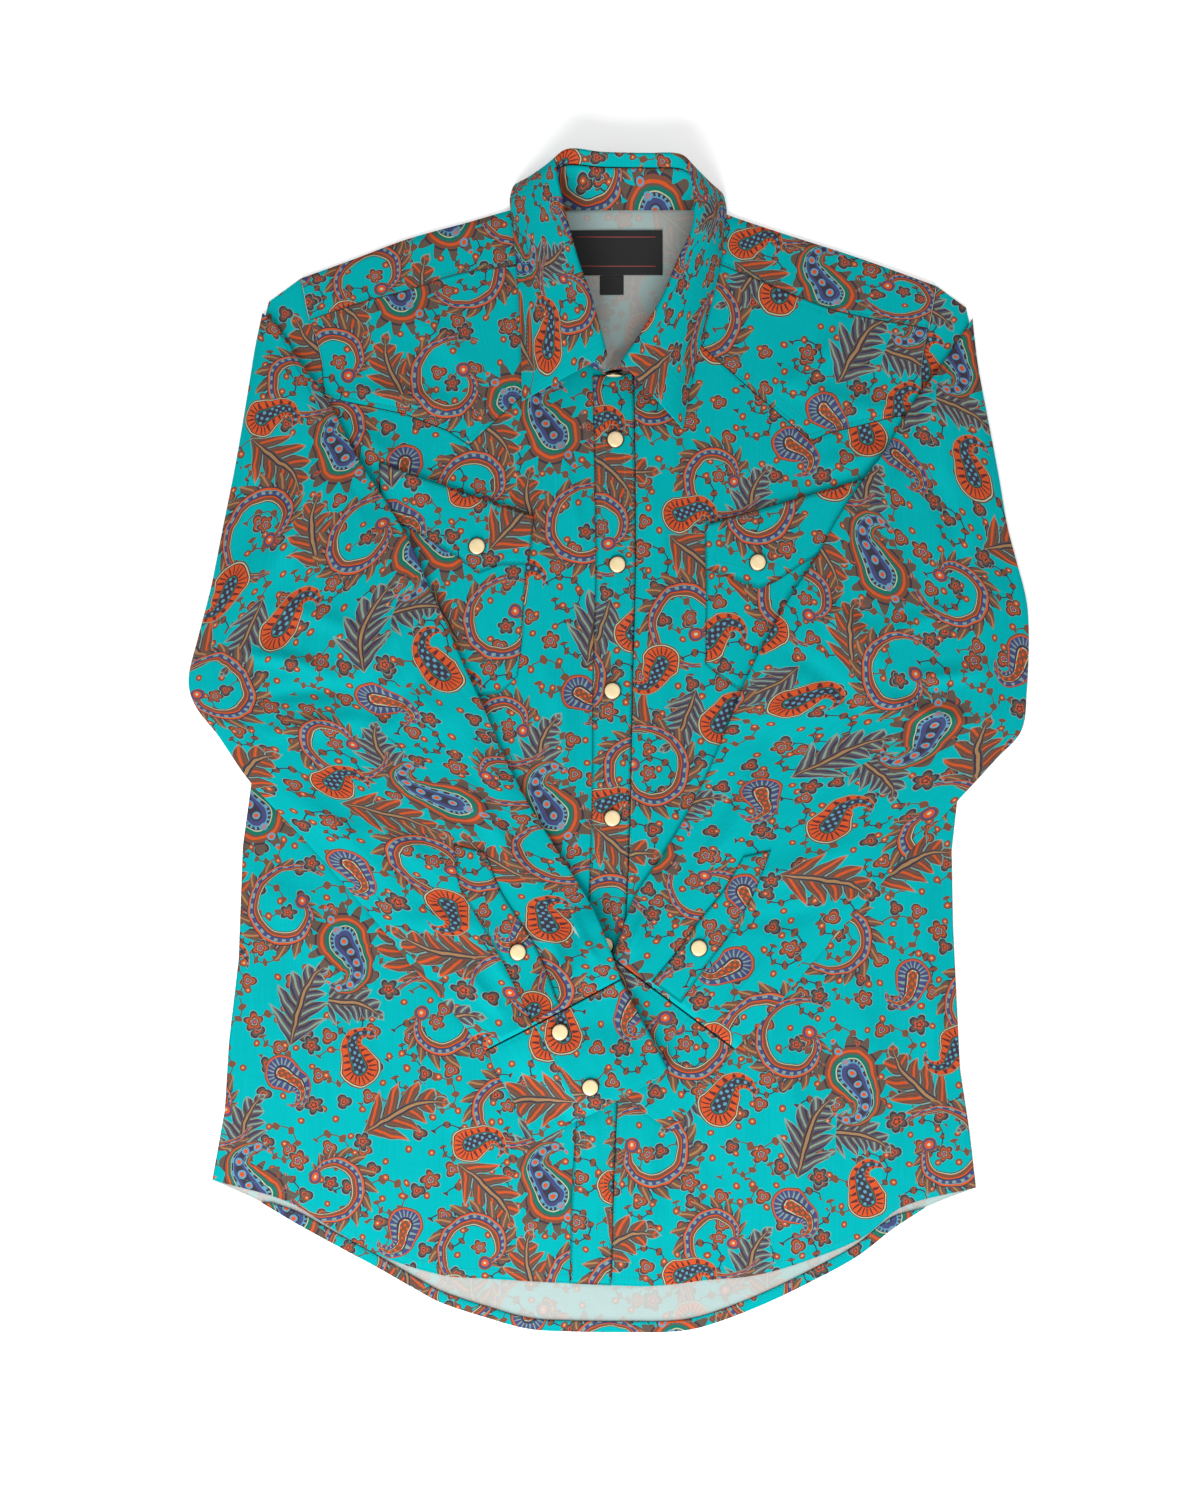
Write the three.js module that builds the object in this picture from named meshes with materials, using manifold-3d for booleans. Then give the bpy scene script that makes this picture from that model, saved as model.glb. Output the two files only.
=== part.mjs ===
// Western snap shirt, laid face up on a table with both sleeves folded across the front.
// Millimetres, +Z up, +Y towards the collar. The origin is under the middle of the shirt.
// "Right" and "left" are the wearer's, so the wearer's right side is at -X.

import * as THREE from 'three';
import { mergeVertices } from 'three/addons/utils/BufferGeometryUtils.js';
import Module from 'manifold-3d';

const wasm = await Module();
wasm.setup();

// Driving dimensions
const CLOTH = 1.2; // wall of one ply
const GAP = 0.3; // between pieces
const LAYER = CLOTH + GAP; // rise of one ply on another
const CUFF_CLOTH = 1.5; // a cuff is two plies and a stiffener
const CUFF_LAYER = CUFF_CLOTH + GAP;
const BODY_LOFT = 2.6; // how far the fronts bulge off the back
const LAP_RAMP = 45; // width over which the left front climbs onto the right front
const SLEEVE_HOLLOW = 2.2; // air inside a flattened sleeve
const SLEEVE_THICK = 2 * CLOTH + SLEEVE_HOLLOW;
const SLEEVE_CLEAR = 0.5; // extra room under a sleeve
const PLEAT_DROP = 1.0; // step at the pleat along a sleeve's inner edge
const SNAP_RADIUS = 5.8;
const SNAP_RIM_RADIUS = 6.4;
const SNAP_HEIGHT = 2.6;
const HEM_TURN = 8; // turned-up hem that shows on the back
const UNDER_LAP = 5; // how far the right front stops short of the placket's seam

// Colours of the cloth and trim
const CLOTH_COLOUR = 0x0fb4b4;
const WRONG_SIDE_COLOUR = 0x9fb8b6;
const LABEL_COLOUR = 0x0b0b0d;
const SNAP_COLOUR = 0xead9a8;

const paint = (colour, roughness = 0.85, metalness = 0) =>
  new THREE.MeshStandardMaterial({ color: colour, roughness, metalness });
const table = (columns, rows) =>
  rows.map((row) => Object.fromEntries(columns.map((name, i) => [name, row[i]])));
const plan = (rows) => table(['x', 'y'], rows);

const shirt = new THREE.Group();

// Curves and patches

const mix = (a, b, t) => a + (b - a) * t;
const smoothstep = (from, to, value) => {
  const t = Math.min(1, Math.max(0, (value - from) / (to - from)));
  return t * t * (3 - 2 * t);
};

// A curve through rows of named numbers. Its t runs evenly from row to row, so that two pieces
// that share rows meet point for point. With straight set, the rows are joined by lines.
function curve(rows, straight = false) {
  const names = Object.keys(rows[0]);
  const last = rows.length - 1;
  const length = (i) => Math.hypot(rows[i + 1].x - rows[i].x, rows[i + 1].y - rows[i].y) || 1;
  const slope = (name, i) => {
    const a = Math.max(0, i - 1);
    const b = Math.min(last, i + 1);
    const run = (a < i ? length(a) : 0) + (b > i ? length(i) : 0);
    return (rows[b][name] - rows[a][name]) / run;
  };
  return (t) => {
    const s = Math.min(1, Math.max(0, t)) * last;
    const i = Math.min(last - 1, Math.floor(s + 1e-9));
    const a = s - i;
    const point = {};
    for (const name of names) {
      const rise = rows[i + 1][name] - rows[i][name];
      point[name] = rows[i][name] + a * rise;
      if (!straight) {
        const lead = slope(name, i) * length(i) - rise;
        const trail = slope(name, i + 1) * length(i) - rise;
        point[name] += a * (1 - a) * ((1 - a) * lead - a * trail);
      }
    }
    return point;
  };
}

const straightLine = (rows) => curve(rows, true);

// A patch filled between four sides. Bottom and top run along +u, left and right along +v.
function patch({ bottom, top, left, right }) {
  const ends = [bottom(0), bottom(1), top(0), top(1)];
  return (u, v) => {
    const point = {};
    for (const name of ['x', 'y']) {
      const [a, b, c, d] = ends.map((end) => end[name]);
      point[name] = mix(bottom(u)[name], top(u)[name], v) + mix(left(v)[name], right(v)[name], u)
        - mix(mix(a, b, u), mix(c, d, u), v);
    }
    return point;
  };
}

// Distance from an outline in plan, negative inside it
function distanceTo(outline, x, y) {
  let nearest = Infinity;
  let inside = false;
  for (let i = 0, j = outline.length - 1; i < outline.length; j = i, i += 1) {
    const a = outline[j];
    const b = outline[i];
    const dx = b.x - a.x;
    const dy = b.y - a.y;
    const along = ((x - a.x) * dx + (y - a.y) * dy) / (dx * dx + dy * dy || 1);
    const t = Math.min(1, Math.max(0, along));
    nearest = Math.min(nearest, Math.hypot(x - a.x - t * dx, y - a.y - t * dy));
    if (a.y > y !== b.y > y && x < a.x + ((y - a.y) / dy) * dx) inside = !inside;
  }
  return inside ? -nearest : nearest;
}

// 1 over an outline and its margin, falling to 0 across the ramp beside it
const cover = (outline, x, y, margin = 12, ramp = 25) =>
  1 - smoothstep(margin, margin + ramp, distanceTo(outline, x, y));

// Solids

function geometryOf(points, faces) {
  const geometry = new THREE.BufferGeometry();
  const flat = points.flatMap((p) => [p.x, p.y, p.z]);
  geometry.setAttribute('position', new THREE.Float32BufferAttribute(flat, 3));
  geometry.setIndex(faces.flat());
  return geometry;
}

// A wall on a grid of points: lower(u, v) and upper(u, v) are its two faces.
function wall(lower, upper, across, along) {
  const points = [];
  const faces = [];
  const at = (i, j, side) => (j * (across + 1) + i) * 2 + side;
  for (let j = 0; j <= along; j += 1) {
    for (let i = 0; i <= across; i += 1) {
      points.push(lower(i / across, j / along), upper(i / across, j / along));
    }
  }
  const quad = (a, b, c, d) => faces.push([a, b, c], [a, c, d]);
  for (let j = 0; j < along; j += 1) {
    for (let i = 0; i < across; i += 1) {
      quad(at(i, j, 1), at(i + 1, j, 1), at(i + 1, j + 1, 1), at(i, j + 1, 1));
      quad(at(i, j, 0), at(i, j + 1, 0), at(i + 1, j + 1, 0), at(i + 1, j, 0));
    }
  }
  for (let i = 0; i < across; i += 1) {
    quad(at(i, 0, 0), at(i + 1, 0, 0), at(i + 1, 0, 1), at(i, 0, 1));
    quad(at(i + 1, along, 0), at(i, along, 0), at(i, along, 1), at(i + 1, along, 1));
  }
  for (let j = 0; j < along; j += 1) {
    quad(at(0, j + 1, 0), at(0, j, 0), at(0, j, 1), at(0, j + 1, 1));
    quad(at(across, j, 0), at(across, j + 1, 0), at(across, j + 1, 1), at(across, j, 1));
  }
  return geometryOf(points, faces);
}

// A flat-lying ply: a patch in plan, with its underside at level(x, y)
function ply(sides, level, across, along, thick = CLOTH) {
  const shape = patch(sides);
  const face = (rise) => (u, v) => {
    const { x, y } = shape(u, v);
    return { x, y, z: level(x, y) + rise };
  };
  return wall(face(0), face(thick), across, along);
}

// Rings of points joined into a bar. A ring runs up one side of a section and back down the
// other with as many points, so its ends close as a ladder between the two sides.
function loft(rings) {
  const count = rings[0].length;
  const end = rings.length - 1;
  const faces = [];
  const at = (k, i) => k * count + (i % count);
  const quad = (a, b, c, d) => faces.push([a, b, c], [a, c, d]);
  for (let k = 0; k < end; k += 1) {
    for (let i = 0; i < count; i += 1) quad(at(k, i), at(k, i + 1), at(k + 1, i + 1), at(k + 1, i));
  }
  for (let i = 0; i < count / 2 - 1; i += 1) {
    const j = count - 1 - i;
    quad(at(0, i), at(0, j), at(0, j - 1), at(0, i + 1));
    quad(at(end, i), at(end, i + 1), at(end, j - 1), at(end, j));
  }
  return outward(geometryOf(rings.flat(), faces));
}

// Where a solid is first met from a point along a direction
function meet(mesh, from, way) {
  const ray = new THREE.Raycaster(new THREE.Vector3(...from), new THREE.Vector3(...way));
  return ray.intersectObject(mesh)[0].point;
}

// Height of the top face of a solid at a point in plan
const topOf = (mesh, x, y) => meet(mesh, [x, y, 100], [0, 0, -1]).z;

// Turns a closed mesh so that its faces point out
function outward(geometry) {
  const p = geometry.attributes.position;
  const index = geometry.index.array;
  const corner = (i) => new THREE.Vector3().fromBufferAttribute(p, index[i]);
  let volume = 0;
  for (let i = 0; i < index.length; i += 3) volume += corner(i).dot(corner(i + 1).cross(corner(i + 2)));
  if (volume < 0) {
    for (let i = 0; i < index.length; i += 3) [index[i + 1], index[i + 2]] = [index[i + 2], index[i + 1]];
  }
  return geometry;
}

function solidOf(geometry) {
  const merged = mergeVertices(geometry, 1e-4);
  return new wasm.Manifold(new wasm.Mesh({
    numProp: 3,
    vertProperties: new Float32Array(merged.attributes.position.array),
    triVerts: new Uint32Array(merged.index.array),
  }));
}

// Joins closed meshes that overlap into one body
function joined(...geometries) {
  const solid = geometries.map(solidOf).reduce((a, b) => a.add(b));
  const mesh = solid.getMesh();
  const geometry = new THREE.BufferGeometry();
  geometry.setAttribute('position', new THREE.BufferAttribute(new Float32Array(mesh.vertProperties), 3));
  geometry.setIndex(Array.from(mesh.triVerts));
  return geometry;
}

function add(name, geometry, material) {
  geometry.computeVertexNormals();
  const mesh = new THREE.Mesh(geometry, material);
  mesh.name = name;
  shirt.add(mesh);
  return mesh;
}

// Outlines in plan. Each runs from the hem up, or from the wearer's right to left.

const RIGHT_SIDE = plan([
  [-285, -316], [-276, -266], [-273, -217], [-266, -157], [-263, -76], [-257, -32], [-254, 40],
  [-250, 100], [-230, 130], [-215, 165], [-206, 205], [-204, 235],
]);
const LEFT_SIDE = plan([
  [264.5, -321.5], [260, -282], [253, -236], [248, -133], [247, -79], [251, -43], [256, 40],
  [258, 100], [243, 130], [232, 165], [226, 205], [225.5, 235],
]);
const RIGHT_ARMHOLE = plan([
  [-204, 235], [-204, 250], [-206, 273], [-210, 290], [-216, 305], [-221, 333],
]);
const LEFT_ARMHOLE = plan([
  [225.5, 235], [225, 252], [225, 268], [227, 283], [231, 299], [236, 327.5],
]);
const BACK_HEM = plan([
  [-285, -316], [-250, -332], [-225, -347], [-194, -364], [-166, -379], [-138, -395], [-121, -404],
  [-91, -414], [-58, -423], [-27, -425], [12, -425.5], [48, -425], [70, -421], [108, -407],
  [146, -389], [179, -371], [205, -351], [228, -336], [264.5, -321.5],
]);
const RIGHT_FRONT_HEM = plan([
  [-285, -316], [-232, -331], [-198, -351], [-167, -369], [-121, -384], [-84, -387], [-33, -390], [-3, -391],
]);
const LEFT_FRONT_HEM = plan([
  [2.5, -391.5], [33, -392], [70, -388], [108, -384], [148, -372], [183, -357], [212, -335], [264.5, -321.5],
]);
const PLACKET_EDGE = plan([
  [-28, -390], [-26, -316], [-17, -180], [-12.2, -48], [-11.5, 40], [-9.4, 127], [-11.5, 262.5],
]);
const PLACKET_SEAM = plan([
  [2.2, -391.5], [4, -316], [10, -180], [15, -70], [17.3, 40], [19.4, 127], [18.7, 238], [18.2, 264],
]);
const RIGHT_YOKE_SEAM = plan([
  [-204.5, 247], [-146, 234.7], [-116, 223], [-100, 212.4], [-63, 247], [-27, 283],
]);
const LEFT_YOKE_SEAM = plan([
  [52, 297], [107, 248.4], [145.4, 215.3], [158.4, 221], [205, 232.6], [225, 236],
]);
const RIGHT_SHOULDER_SEAM = plan([
  [-215.2, 303], [-177, 316], [-144, 324.7], [-109.4, 336], [-72, 342], [-49, 346],
]);
const LEFT_SHOULDER_SEAM = plan([
  [69.5, 347], [80.6, 343], [119.5, 327], [153.4, 313.2], [175.7, 306.7], [230.5, 297],
]);
const RIGHT_SHOULDER = plan([
  [-221, 333], [-185, 346], [-145, 361], [-100, 373.5], [-70, 382], [-56, 384],
]);
const LEFT_SHOULDER = plan([[74, 384], [82, 380], [120, 367], [176, 349], [236, 327.5]]);

const backwards = (rows) => [...rows].reverse();
const shifted = (rows, dx, dy) => rows.map((row) => ({ ...row, x: row.x + dx, y: row.y + dy }));

const BODY_OUTLINE = [
  ...RIGHT_SIDE, ...RIGHT_ARMHOLE, ...RIGHT_SHOULDER, ...LEFT_SHOULDER,
  ...backwards(LEFT_ARMHOLE), ...backwards(LEFT_SIDE), ...backwards(BACK_HEM),
];

// Levels: the height of the underside of what lies at a point

const placketEdge = curve(PLACKET_EDGE);
const placketSeam = curve(PLACKET_SEAM);
const lengthwise = (y) => (y - PLACKET_EDGE[0].y) / (262.5 - PLACKET_EDGE[0].y);

// The left front and its placket lie one ply above the right front
function lap(x, y) {
  const t = lengthwise(y);
  const aside = Math.max(x - placketSeam(t).x, placketEdge(t).x - x);
  return LAYER * (1 - smoothstep(2, LAP_RAMP, aside));
}

// A slight bulge of the fronts, nothing at their edges
function loftOver(x, y) {
  const across = Math.max(0, 1 - (x / 235) ** 2);
  const lengthways = smoothstep(-400, -220, y) * (1 - smoothstep(130, 290, y));
  return BODY_LOFT * across * lengthways;
}

const underFront = (x, y) => LAYER + loftOver(x, y);
const leftFront = (x, y) => underFront(x, y) + lap(x, y);
const onRightFront = (x, y) => underFront(x, y) + LAYER;
const onLeftFront = (x, y) => leftFront(x, y) + LAYER;

// Pockets and flaps

const RIGHT_POCKET = {
  bottom: plan([[-172, 72], [-160, 56], [-118, 36], [-80, 34], [-65.5, 46]]),
  top: plan([[-164, 194], [-57, 157]]),
  left: plan([[-172, 72], [-168, 133], [-164, 194]]),
  right: plan([[-65.5, 46], [-62, 72.7], [-61, 93], [-59, 122], [-57, 157]]),
};
const LEFT_POCKET = {
  bottom: plan([[69.8, 54.7], [95, 36.7], [130, 33], [165, 42], [186, 70]]),
  top: plan([[71, 151], [182, 183]]),
  left: plan([[69.8, 54.7], [70, 100], [71, 151]]),
  right: plan([[186, 70], [184, 126], [182, 183]]),
};
const RIGHT_FLAP = {
  bottom: plan([[-163, 163], [-135, 148], [-107, 131], [-93, 120], [-78, 126], [-57, 126.5]]),
  top: plan([[-165, 200], [-53.3, 161.3]]),
  left: plan([[-163, 163], [-165, 200]]),
  right: plan([[-57, 126.5], [-53.3, 161.3]]),
};
const LEFT_FLAP = {
  bottom: plan([[69.8, 123], [88, 117], [107.3, 108.7], [121, 114.5], [140, 127.4], [180, 150]]),
  top: plan([[69, 154.8], [183.6, 188.6]]),
  left: plan([[69.8, 123], [69, 154.8]]),
  right: plan([[180, 150], [183.6, 188.6]]),
};
const outlineOf = ({ bottom, top, left, right }) =>
  [...bottom, ...right, ...backwards(top), ...backwards(left)];
const RIGHT_POCKET_OUTLINE = outlineOf(RIGHT_POCKET);
const LEFT_POCKET_OUTLINE = outlineOf(LEFT_POCKET);
const RIGHT_FLAP_OUTLINE = outlineOf(RIGHT_FLAP);
const LEFT_FLAP_OUTLINE = outlineOf(LEFT_FLAP);

// Snaps down the placket; the last two lie under the sleeves
const PLACKET_SNAPS = plan([
  [5, 216.7], [6.5, 126.7], [2.9, 36], [2.9, -55.4], [-2.2, -146.9], [-7.2, -238.3],
]);
const HIDDEN_SNAPS = PLACKET_SNAPS.slice(4);

const hump = (spots, x, y) =>
  Math.max(0, ...spots.map((spot) => 1 - smoothstep(16, 40, Math.hypot(x - spot.x, y - spot.y))));

// What a sleeve lies on: the fronts, the flapped pockets and the snaps under it
function onBody(x, y) {
  const pockets = Math.max(
    cover(RIGHT_POCKET_OUTLINE, x, y), cover(LEFT_POCKET_OUTLINE, x, y),
    cover(RIGHT_FLAP_OUTLINE, x, y), cover(LEFT_FLAP_OUTLINE, x, y),
  );
  const fronts = underFront(x, y) + lap(x, y) + LAYER + SLEEVE_CLEAR;
  return cover(BODY_OUTLINE, x, y) * fronts + 2 * LAYER * pockets
    + (SNAP_HEIGHT + GAP) * hump(HIDDEN_SNAPS, x, y);
}

// Sleeves: one row for each section, from the shoulder down to the cuff seam
const sections = (rows) => table(['outerX', 'outerY', 'innerX', 'innerY'], rows);
const RIGHT_SLEEVE = sections([
  [-249, 308, -239, 300], [-254, 284, -222, 273], [-260, 247, -199, 240], [-268, 200, -180, 203],
  [-277, 155, -158, 169], [-286, 110, -141, 140], [-295, 75, -128, 109], [-302, 45, -118, 88],
  [-297, 25, -104, 55], [-280, 3, -90, 25], [-257, -30, -76, -8], [-225, -64, -60, -40],
  [-194, -98, -42, -70], [-165, -132, -25, -97], [-140, -163, -11, -120], [-114, -192, 0, -146],
  [-89, -222, 8.6, -170],
]);
const LEFT_SLEEVE = sections([
  [262, 304, 258, 298], [266, 270, 240, 271], [273, 232, 217, 240], [281, 190, 199, 209],
  [287, 155, 184, 189], [294, 128, 165, 160.6], [301, 100, 148, 129.6], [302.5, 75, 134, 109],
  [301, 35, 117, 80], [297, 7, 104, 55], [278, -14, 94, 32], [251, -43, 86, 12], [210, -86, 70, -26],
  [182, -119, 55, -55], [153, -152, 38, -83], [124, -186, 19, -112], [91.4, -221, 3, -155],
]);
const RIGHT_CUFF = plan([[-89, -222], [8.6, -170], [44, -237], [-52, -288]]);
const LEFT_CUFF = plan([[91.4, -221], [3, -155], [-43, -216], [46, -281]]);

const edgeOf = (rows, side) => rows.map((row) => ({ x: row[`${side}X`], y: row[`${side}Y`] }));
const LEFT_SLEEVE_OUTLINE = [...edgeOf(LEFT_SLEEVE, 'outer'), ...backwards(edgeOf(LEFT_SLEEVE, 'inner'))];

const onLeftSleeve = (x, y) =>
  onBody(x, y) + Math.max(
    cover(LEFT_SLEEVE_OUTLINE, x, y, 12, 28) * (SLEEVE_THICK + LAYER),
    cover(LEFT_CUFF, x, y, 12, 28) * (3 * CUFF_LAYER + LAYER),
  );

// Thickness of a flattened sleeve across its width, with the pleat near its inner edge
const sleeveRise = (u) =>
  SLEEVE_THICK - 1.1 * (1 - smoothstep(0, 0.14, u)) - PLEAT_DROP * smoothstep(0.8, 0.86, u);

function sleeve(rows, level, armhole, toBody) {
  const row = curve(rows.map((r) => ({ x: (r.outerX + r.innerX) / 2, y: (r.outerY + r.innerY) / 2, ...r })));
  const STEPS = rows.length - 1;
  const STRIPS = [0.03, 0.16, 0.34, 0.52, 0.7, 0.79, 0.87, 0.97];
  const outer = [];
  const inner = [];
  for (let k = 0; k <= STEPS; k += 1) {
    const r = row(k / STEPS);
    const width = Math.hypot(r.innerX - r.outerX, r.innerY - r.outerY);
    const at = (u, rise) => {
      const x = mix(r.outerX, r.innerX, u);
      const y = mix(r.outerY, r.innerY, u);
      return { x, y, z: Math.max(0.1, level(x, y)) + rise };
    };
    const rim = CLOTH / width;
    const ring = (inset, shrink) => [
      at(shrink, sleeveRise(0) / 2),
      ...STRIPS.map((u) => at(mix(shrink, 1 - shrink, u), inset)),
      at(1 - shrink, sleeveRise(1) / 2),
      ...backwards(STRIPS).map((u) => at(mix(shrink, 1 - shrink, u), sleeveRise(u) - inset)),
    ];
    outer.push(ring(0, 0));
    inner.push(ring(CLOTH, rim));
  }
  const count = outer[0].length;
  const faces = [];
  const id = (layer, k, i) => (layer * (STEPS + 1) + k) * count + (i % count);
  const quad = (a, b, c, d) => faces.push([a, b, c], [a, c, d]);
  for (let k = 0; k < STEPS; k += 1) {
    for (let i = 0; i < count; i += 1) {
      quad(id(0, k, i), id(0, k, i + 1), id(0, k + 1, i + 1), id(0, k + 1, i));
      quad(id(1, k, i), id(1, k + 1, i), id(1, k + 1, i + 1), id(1, k, i + 1));
    }
  }
  for (let i = 0; i < count; i += 1) {
    quad(id(0, 0, i), id(1, 0, i), id(1, 0, i + 1), id(0, 0, i + 1));
    quad(id(0, STEPS, i), id(0, STEPS, i + 1), id(1, STEPS, i + 1), id(1, STEPS, i));
  }
  const tube = outward(geometryOf([...outer.flat(), ...inner.flat()], faces));
  return joined(tube, sleeveCap(rows, armhole, toBody));
}

// The sleeve's head lies flat beside the body, from the armhole seam out to the fold
function sleeveCap(rows, armhole, toBody) {
  const fold = edgeOf(rows, 'outer').slice(0, 8);
  const inset = fold.map((p) => ({ x: p.x + 4 * toBody, y: p.y - 1 }));
  const seam = shifted(armhole, -GAP * toBody, 0);
  const sides = {
    bottom: straightLine([inset[7], seam[0]]),
    top: straightLine([{ x: inset[0].x + 2 * toBody, y: inset[0].y + 9 }, seam[seam.length - 1]]),
    left: straightLine([...backwards(inset), { x: inset[0].x + 2 * toBody, y: inset[0].y + 9 }]),
    right: straightLine(seam),
  };
  return outward(ply(sides, () => 0, 3, seam.length - 1));
}

// Plies of the body

const clothMaterial = () => paint(CLOTH_COLOUR);

function buildBack() {
  add('back', ply({
    bottom: curve(BACK_HEM),
    top: straightLine([RIGHT_SIDE.at(-1), LEFT_SIDE.at(-1)]),
    left: straightLine(RIGHT_SIDE),
    right: straightLine(LEFT_SIDE),
  }, () => 0, 18, 11), paint(WRONG_SIDE_COLOUR));

  const hem = BACK_HEM.slice(4, 16);
  const inset = hem.map((p) => ({ x: p.x * 0.99, y: p.y + HEM_TURN }));
  add('back_hem', ply({
    bottom: curve(hem),
    top: curve(inset),
    left: straightLine([hem[0], inset[0]]),
    right: straightLine([hem.at(-1), inset.at(-1)]),
  }, () => LAYER, 11, 1), clothMaterial());
}

// The back yoke folds over both shoulders and ends at a seam on the front
function buildBackYoke() {
  const shoulderFold = (rows) => {
    const line = curve(rows);
    const steps = 5;
    const rings = [];
    for (let k = 0; k <= steps; k += 1) {
      const here = line(k / steps);
      const next = line(Math.min(1, k / steps + 0.02));
      const last = line(Math.max(0, k / steps - 0.02));
      const way = new THREE.Vector2(next.x - last.x, next.y - last.y).normalize();
      const radius = (CLOTH + LAYER) / 2 - 0.05;
      const ring = [];
      const arcs = 3;
      for (let i = 0; i <= arcs; i += 1) {
        const turn = -Math.PI / 2 + (Math.PI * i) / arcs;
        ring.push([radius * Math.cos(turn) - radius, radius + 0.05 + radius * Math.sin(turn)]);
      }
      ring.push([-4, 2 * radius + 0.05], [-4, 0.05]);
      rings.push(ring.map(([out, z]) => ({ x: here.x - way.y * out, y: here.y + way.x * out, z })));
    }
    return loft(rings);
  };
  const top = [...RIGHT_SHOULDER, ...LEFT_SHOULDER];
  const backPly = ply({
    bottom: straightLine(shifted([RIGHT_SIDE.at(-1), LEFT_SIDE.at(-1)], 0, GAP)),
    top: curve(top),
    left: straightLine([shifted(RIGHT_ARMHOLE, 0, GAP)[0], ...RIGHT_ARMHOLE.slice(1)]),
    right: straightLine([shifted(LEFT_ARMHOLE, 0, GAP)[0], ...LEFT_ARMHOLE.slice(1)]),
  }, () => 0, 20, 5);
  const rightStrip = ply({
    bottom: curve(shifted(RIGHT_SHOULDER_SEAM, 0, GAP)),
    top: curve(shifted(RIGHT_SHOULDER, 0, -1.5)),
    left: straightLine([shifted(RIGHT_SHOULDER_SEAM, 0, GAP)[0], shifted(RIGHT_SHOULDER, 0, -1.5)[0]]),
    right: curve([{ x: -49, y: 346 + GAP }, { x: -54, y: 364 }, { x: -56, y: 382.5 }]),
  }, () => LAYER, 10, 2);
  const leftStrip = ply({
    bottom: curve(shifted(LEFT_SHOULDER_SEAM, 0, GAP)),
    top: curve(shifted(LEFT_SHOULDER, 0, -1.5)),
    left: curve([{ x: 69.5, y: 347 + GAP }, { x: 73, y: 364 }, { x: 74, y: 382.5 }]),
    right: straightLine([shifted(LEFT_SHOULDER_SEAM, 0, GAP).at(-1), shifted(LEFT_SHOULDER, 0, -1.5).at(-1)]),
  }, () => LAYER, 10, 2);
  const folds = [RIGHT_SHOULDER, LEFT_SHOULDER].map(shoulderFold);
  add('back_yoke', joined(backPly, rightStrip, leftStrip, ...folds), paint(WRONG_SIDE_COLOUR));
}

function buildFronts() {
  const rightSide = [...RIGHT_SIDE, RIGHT_YOKE_SEAM[0]];
  const underLap = shifted(PLACKET_SEAM, -UNDER_LAP, 0);
  underLap[0] = RIGHT_FRONT_HEM.at(-1);
  underLap[underLap.length - 1] = { x: 13.2, y: 261 };
  add('front_right', ply({
    bottom: curve(RIGHT_FRONT_HEM),
    top: straightLine([...RIGHT_YOKE_SEAM, { x: -14, y: 270 }, { x: 0, y: 263 }, underLap.at(-1)]),
    left: straightLine(rightSide),
    right: curve(underLap),
  }, underFront, 16, 14), clothMaterial());

  const leftSide = [...LEFT_SIDE.slice(0, -1), LEFT_YOKE_SEAM.at(-1)];
  const seam = shifted(PLACKET_SEAM, GAP, 0);
  add('front_left', ply({
    bottom: curve([seam[0], ...LEFT_FRONT_HEM.slice(1)]),
    top: straightLine([seam.at(-1), { x: 37, y: 277 }, ...LEFT_YOKE_SEAM]),
    left: curve(seam),
    right: straightLine(leftSide),
  }, leftFront, 14, 11), clothMaterial());

  add('placket', ply({
    bottom: straightLine([PLACKET_EDGE[0], PLACKET_SEAM[0]]),
    top: straightLine([PLACKET_EDGE.at(-1), PLACKET_SEAM.at(-1)]),
    left: curve(PLACKET_EDGE),
    right: curve(PLACKET_SEAM),
  }, leftFront, 2, 18), clothMaterial());
}

function buildFrontYokes() {
  const right = shifted(RIGHT_YOKE_SEAM, 0, 2 * GAP);
  const rightShoulder = shifted(RIGHT_SHOULDER_SEAM, 0, -GAP);
  add('front_yoke_right', ply({
    bottom: straightLine(right),
    top: curve(rightShoulder),
    left: straightLine([right[0], { x: -206, y: 273 }, { x: -210, y: 290 }, rightShoulder[0]]),
    right: curve([right.at(-1), { x: -34, y: 303 }, { x: -43, y: 326 }, rightShoulder.at(-1)]),
  }, underFront, 10, 6), clothMaterial());

  const left = shifted(LEFT_YOKE_SEAM, 0, 2 * GAP);
  const leftShoulder = shifted(LEFT_SHOULDER_SEAM, 0, -GAP);
  add('front_yoke_left', ply({
    bottom: straightLine(left),
    top: curve(leftShoulder),
    left: curve([left[0], { x: 60, y: 315 }, { x: 65, y: 330 }, leftShoulder[0]]),
    right: straightLine([left.at(-1), ...LEFT_ARMHOLE.slice(1, 4), leftShoulder.at(-1)]),
  }, leftFront, 10, 4), clothMaterial());
}

function buildPockets() {
  const place = (name, shape, level, across, along, pointed) => add(name, ply({
    bottom: (pointed ? straightLine : curve)(shape.bottom),
    top: straightLine(shape.top),
    left: curve(shape.left),
    right: curve(shape.right),
  }, level, across, along), clothMaterial());
  place('pocket_right', RIGHT_POCKET, onRightFront, 5, 5, false);
  place('pocket_left', LEFT_POCKET, onLeftFront, 5, 5, false);
  place('flap_right', RIGHT_FLAP, (x, y) => onRightFront(x, y) + LAYER, 5, 2, true);
  place('flap_left', LEFT_FLAP, (x, y) => onLeftFront(x, y) + LAYER, 5, 2, true);
}

// Sleeves, their plackets and cuffs

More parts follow.
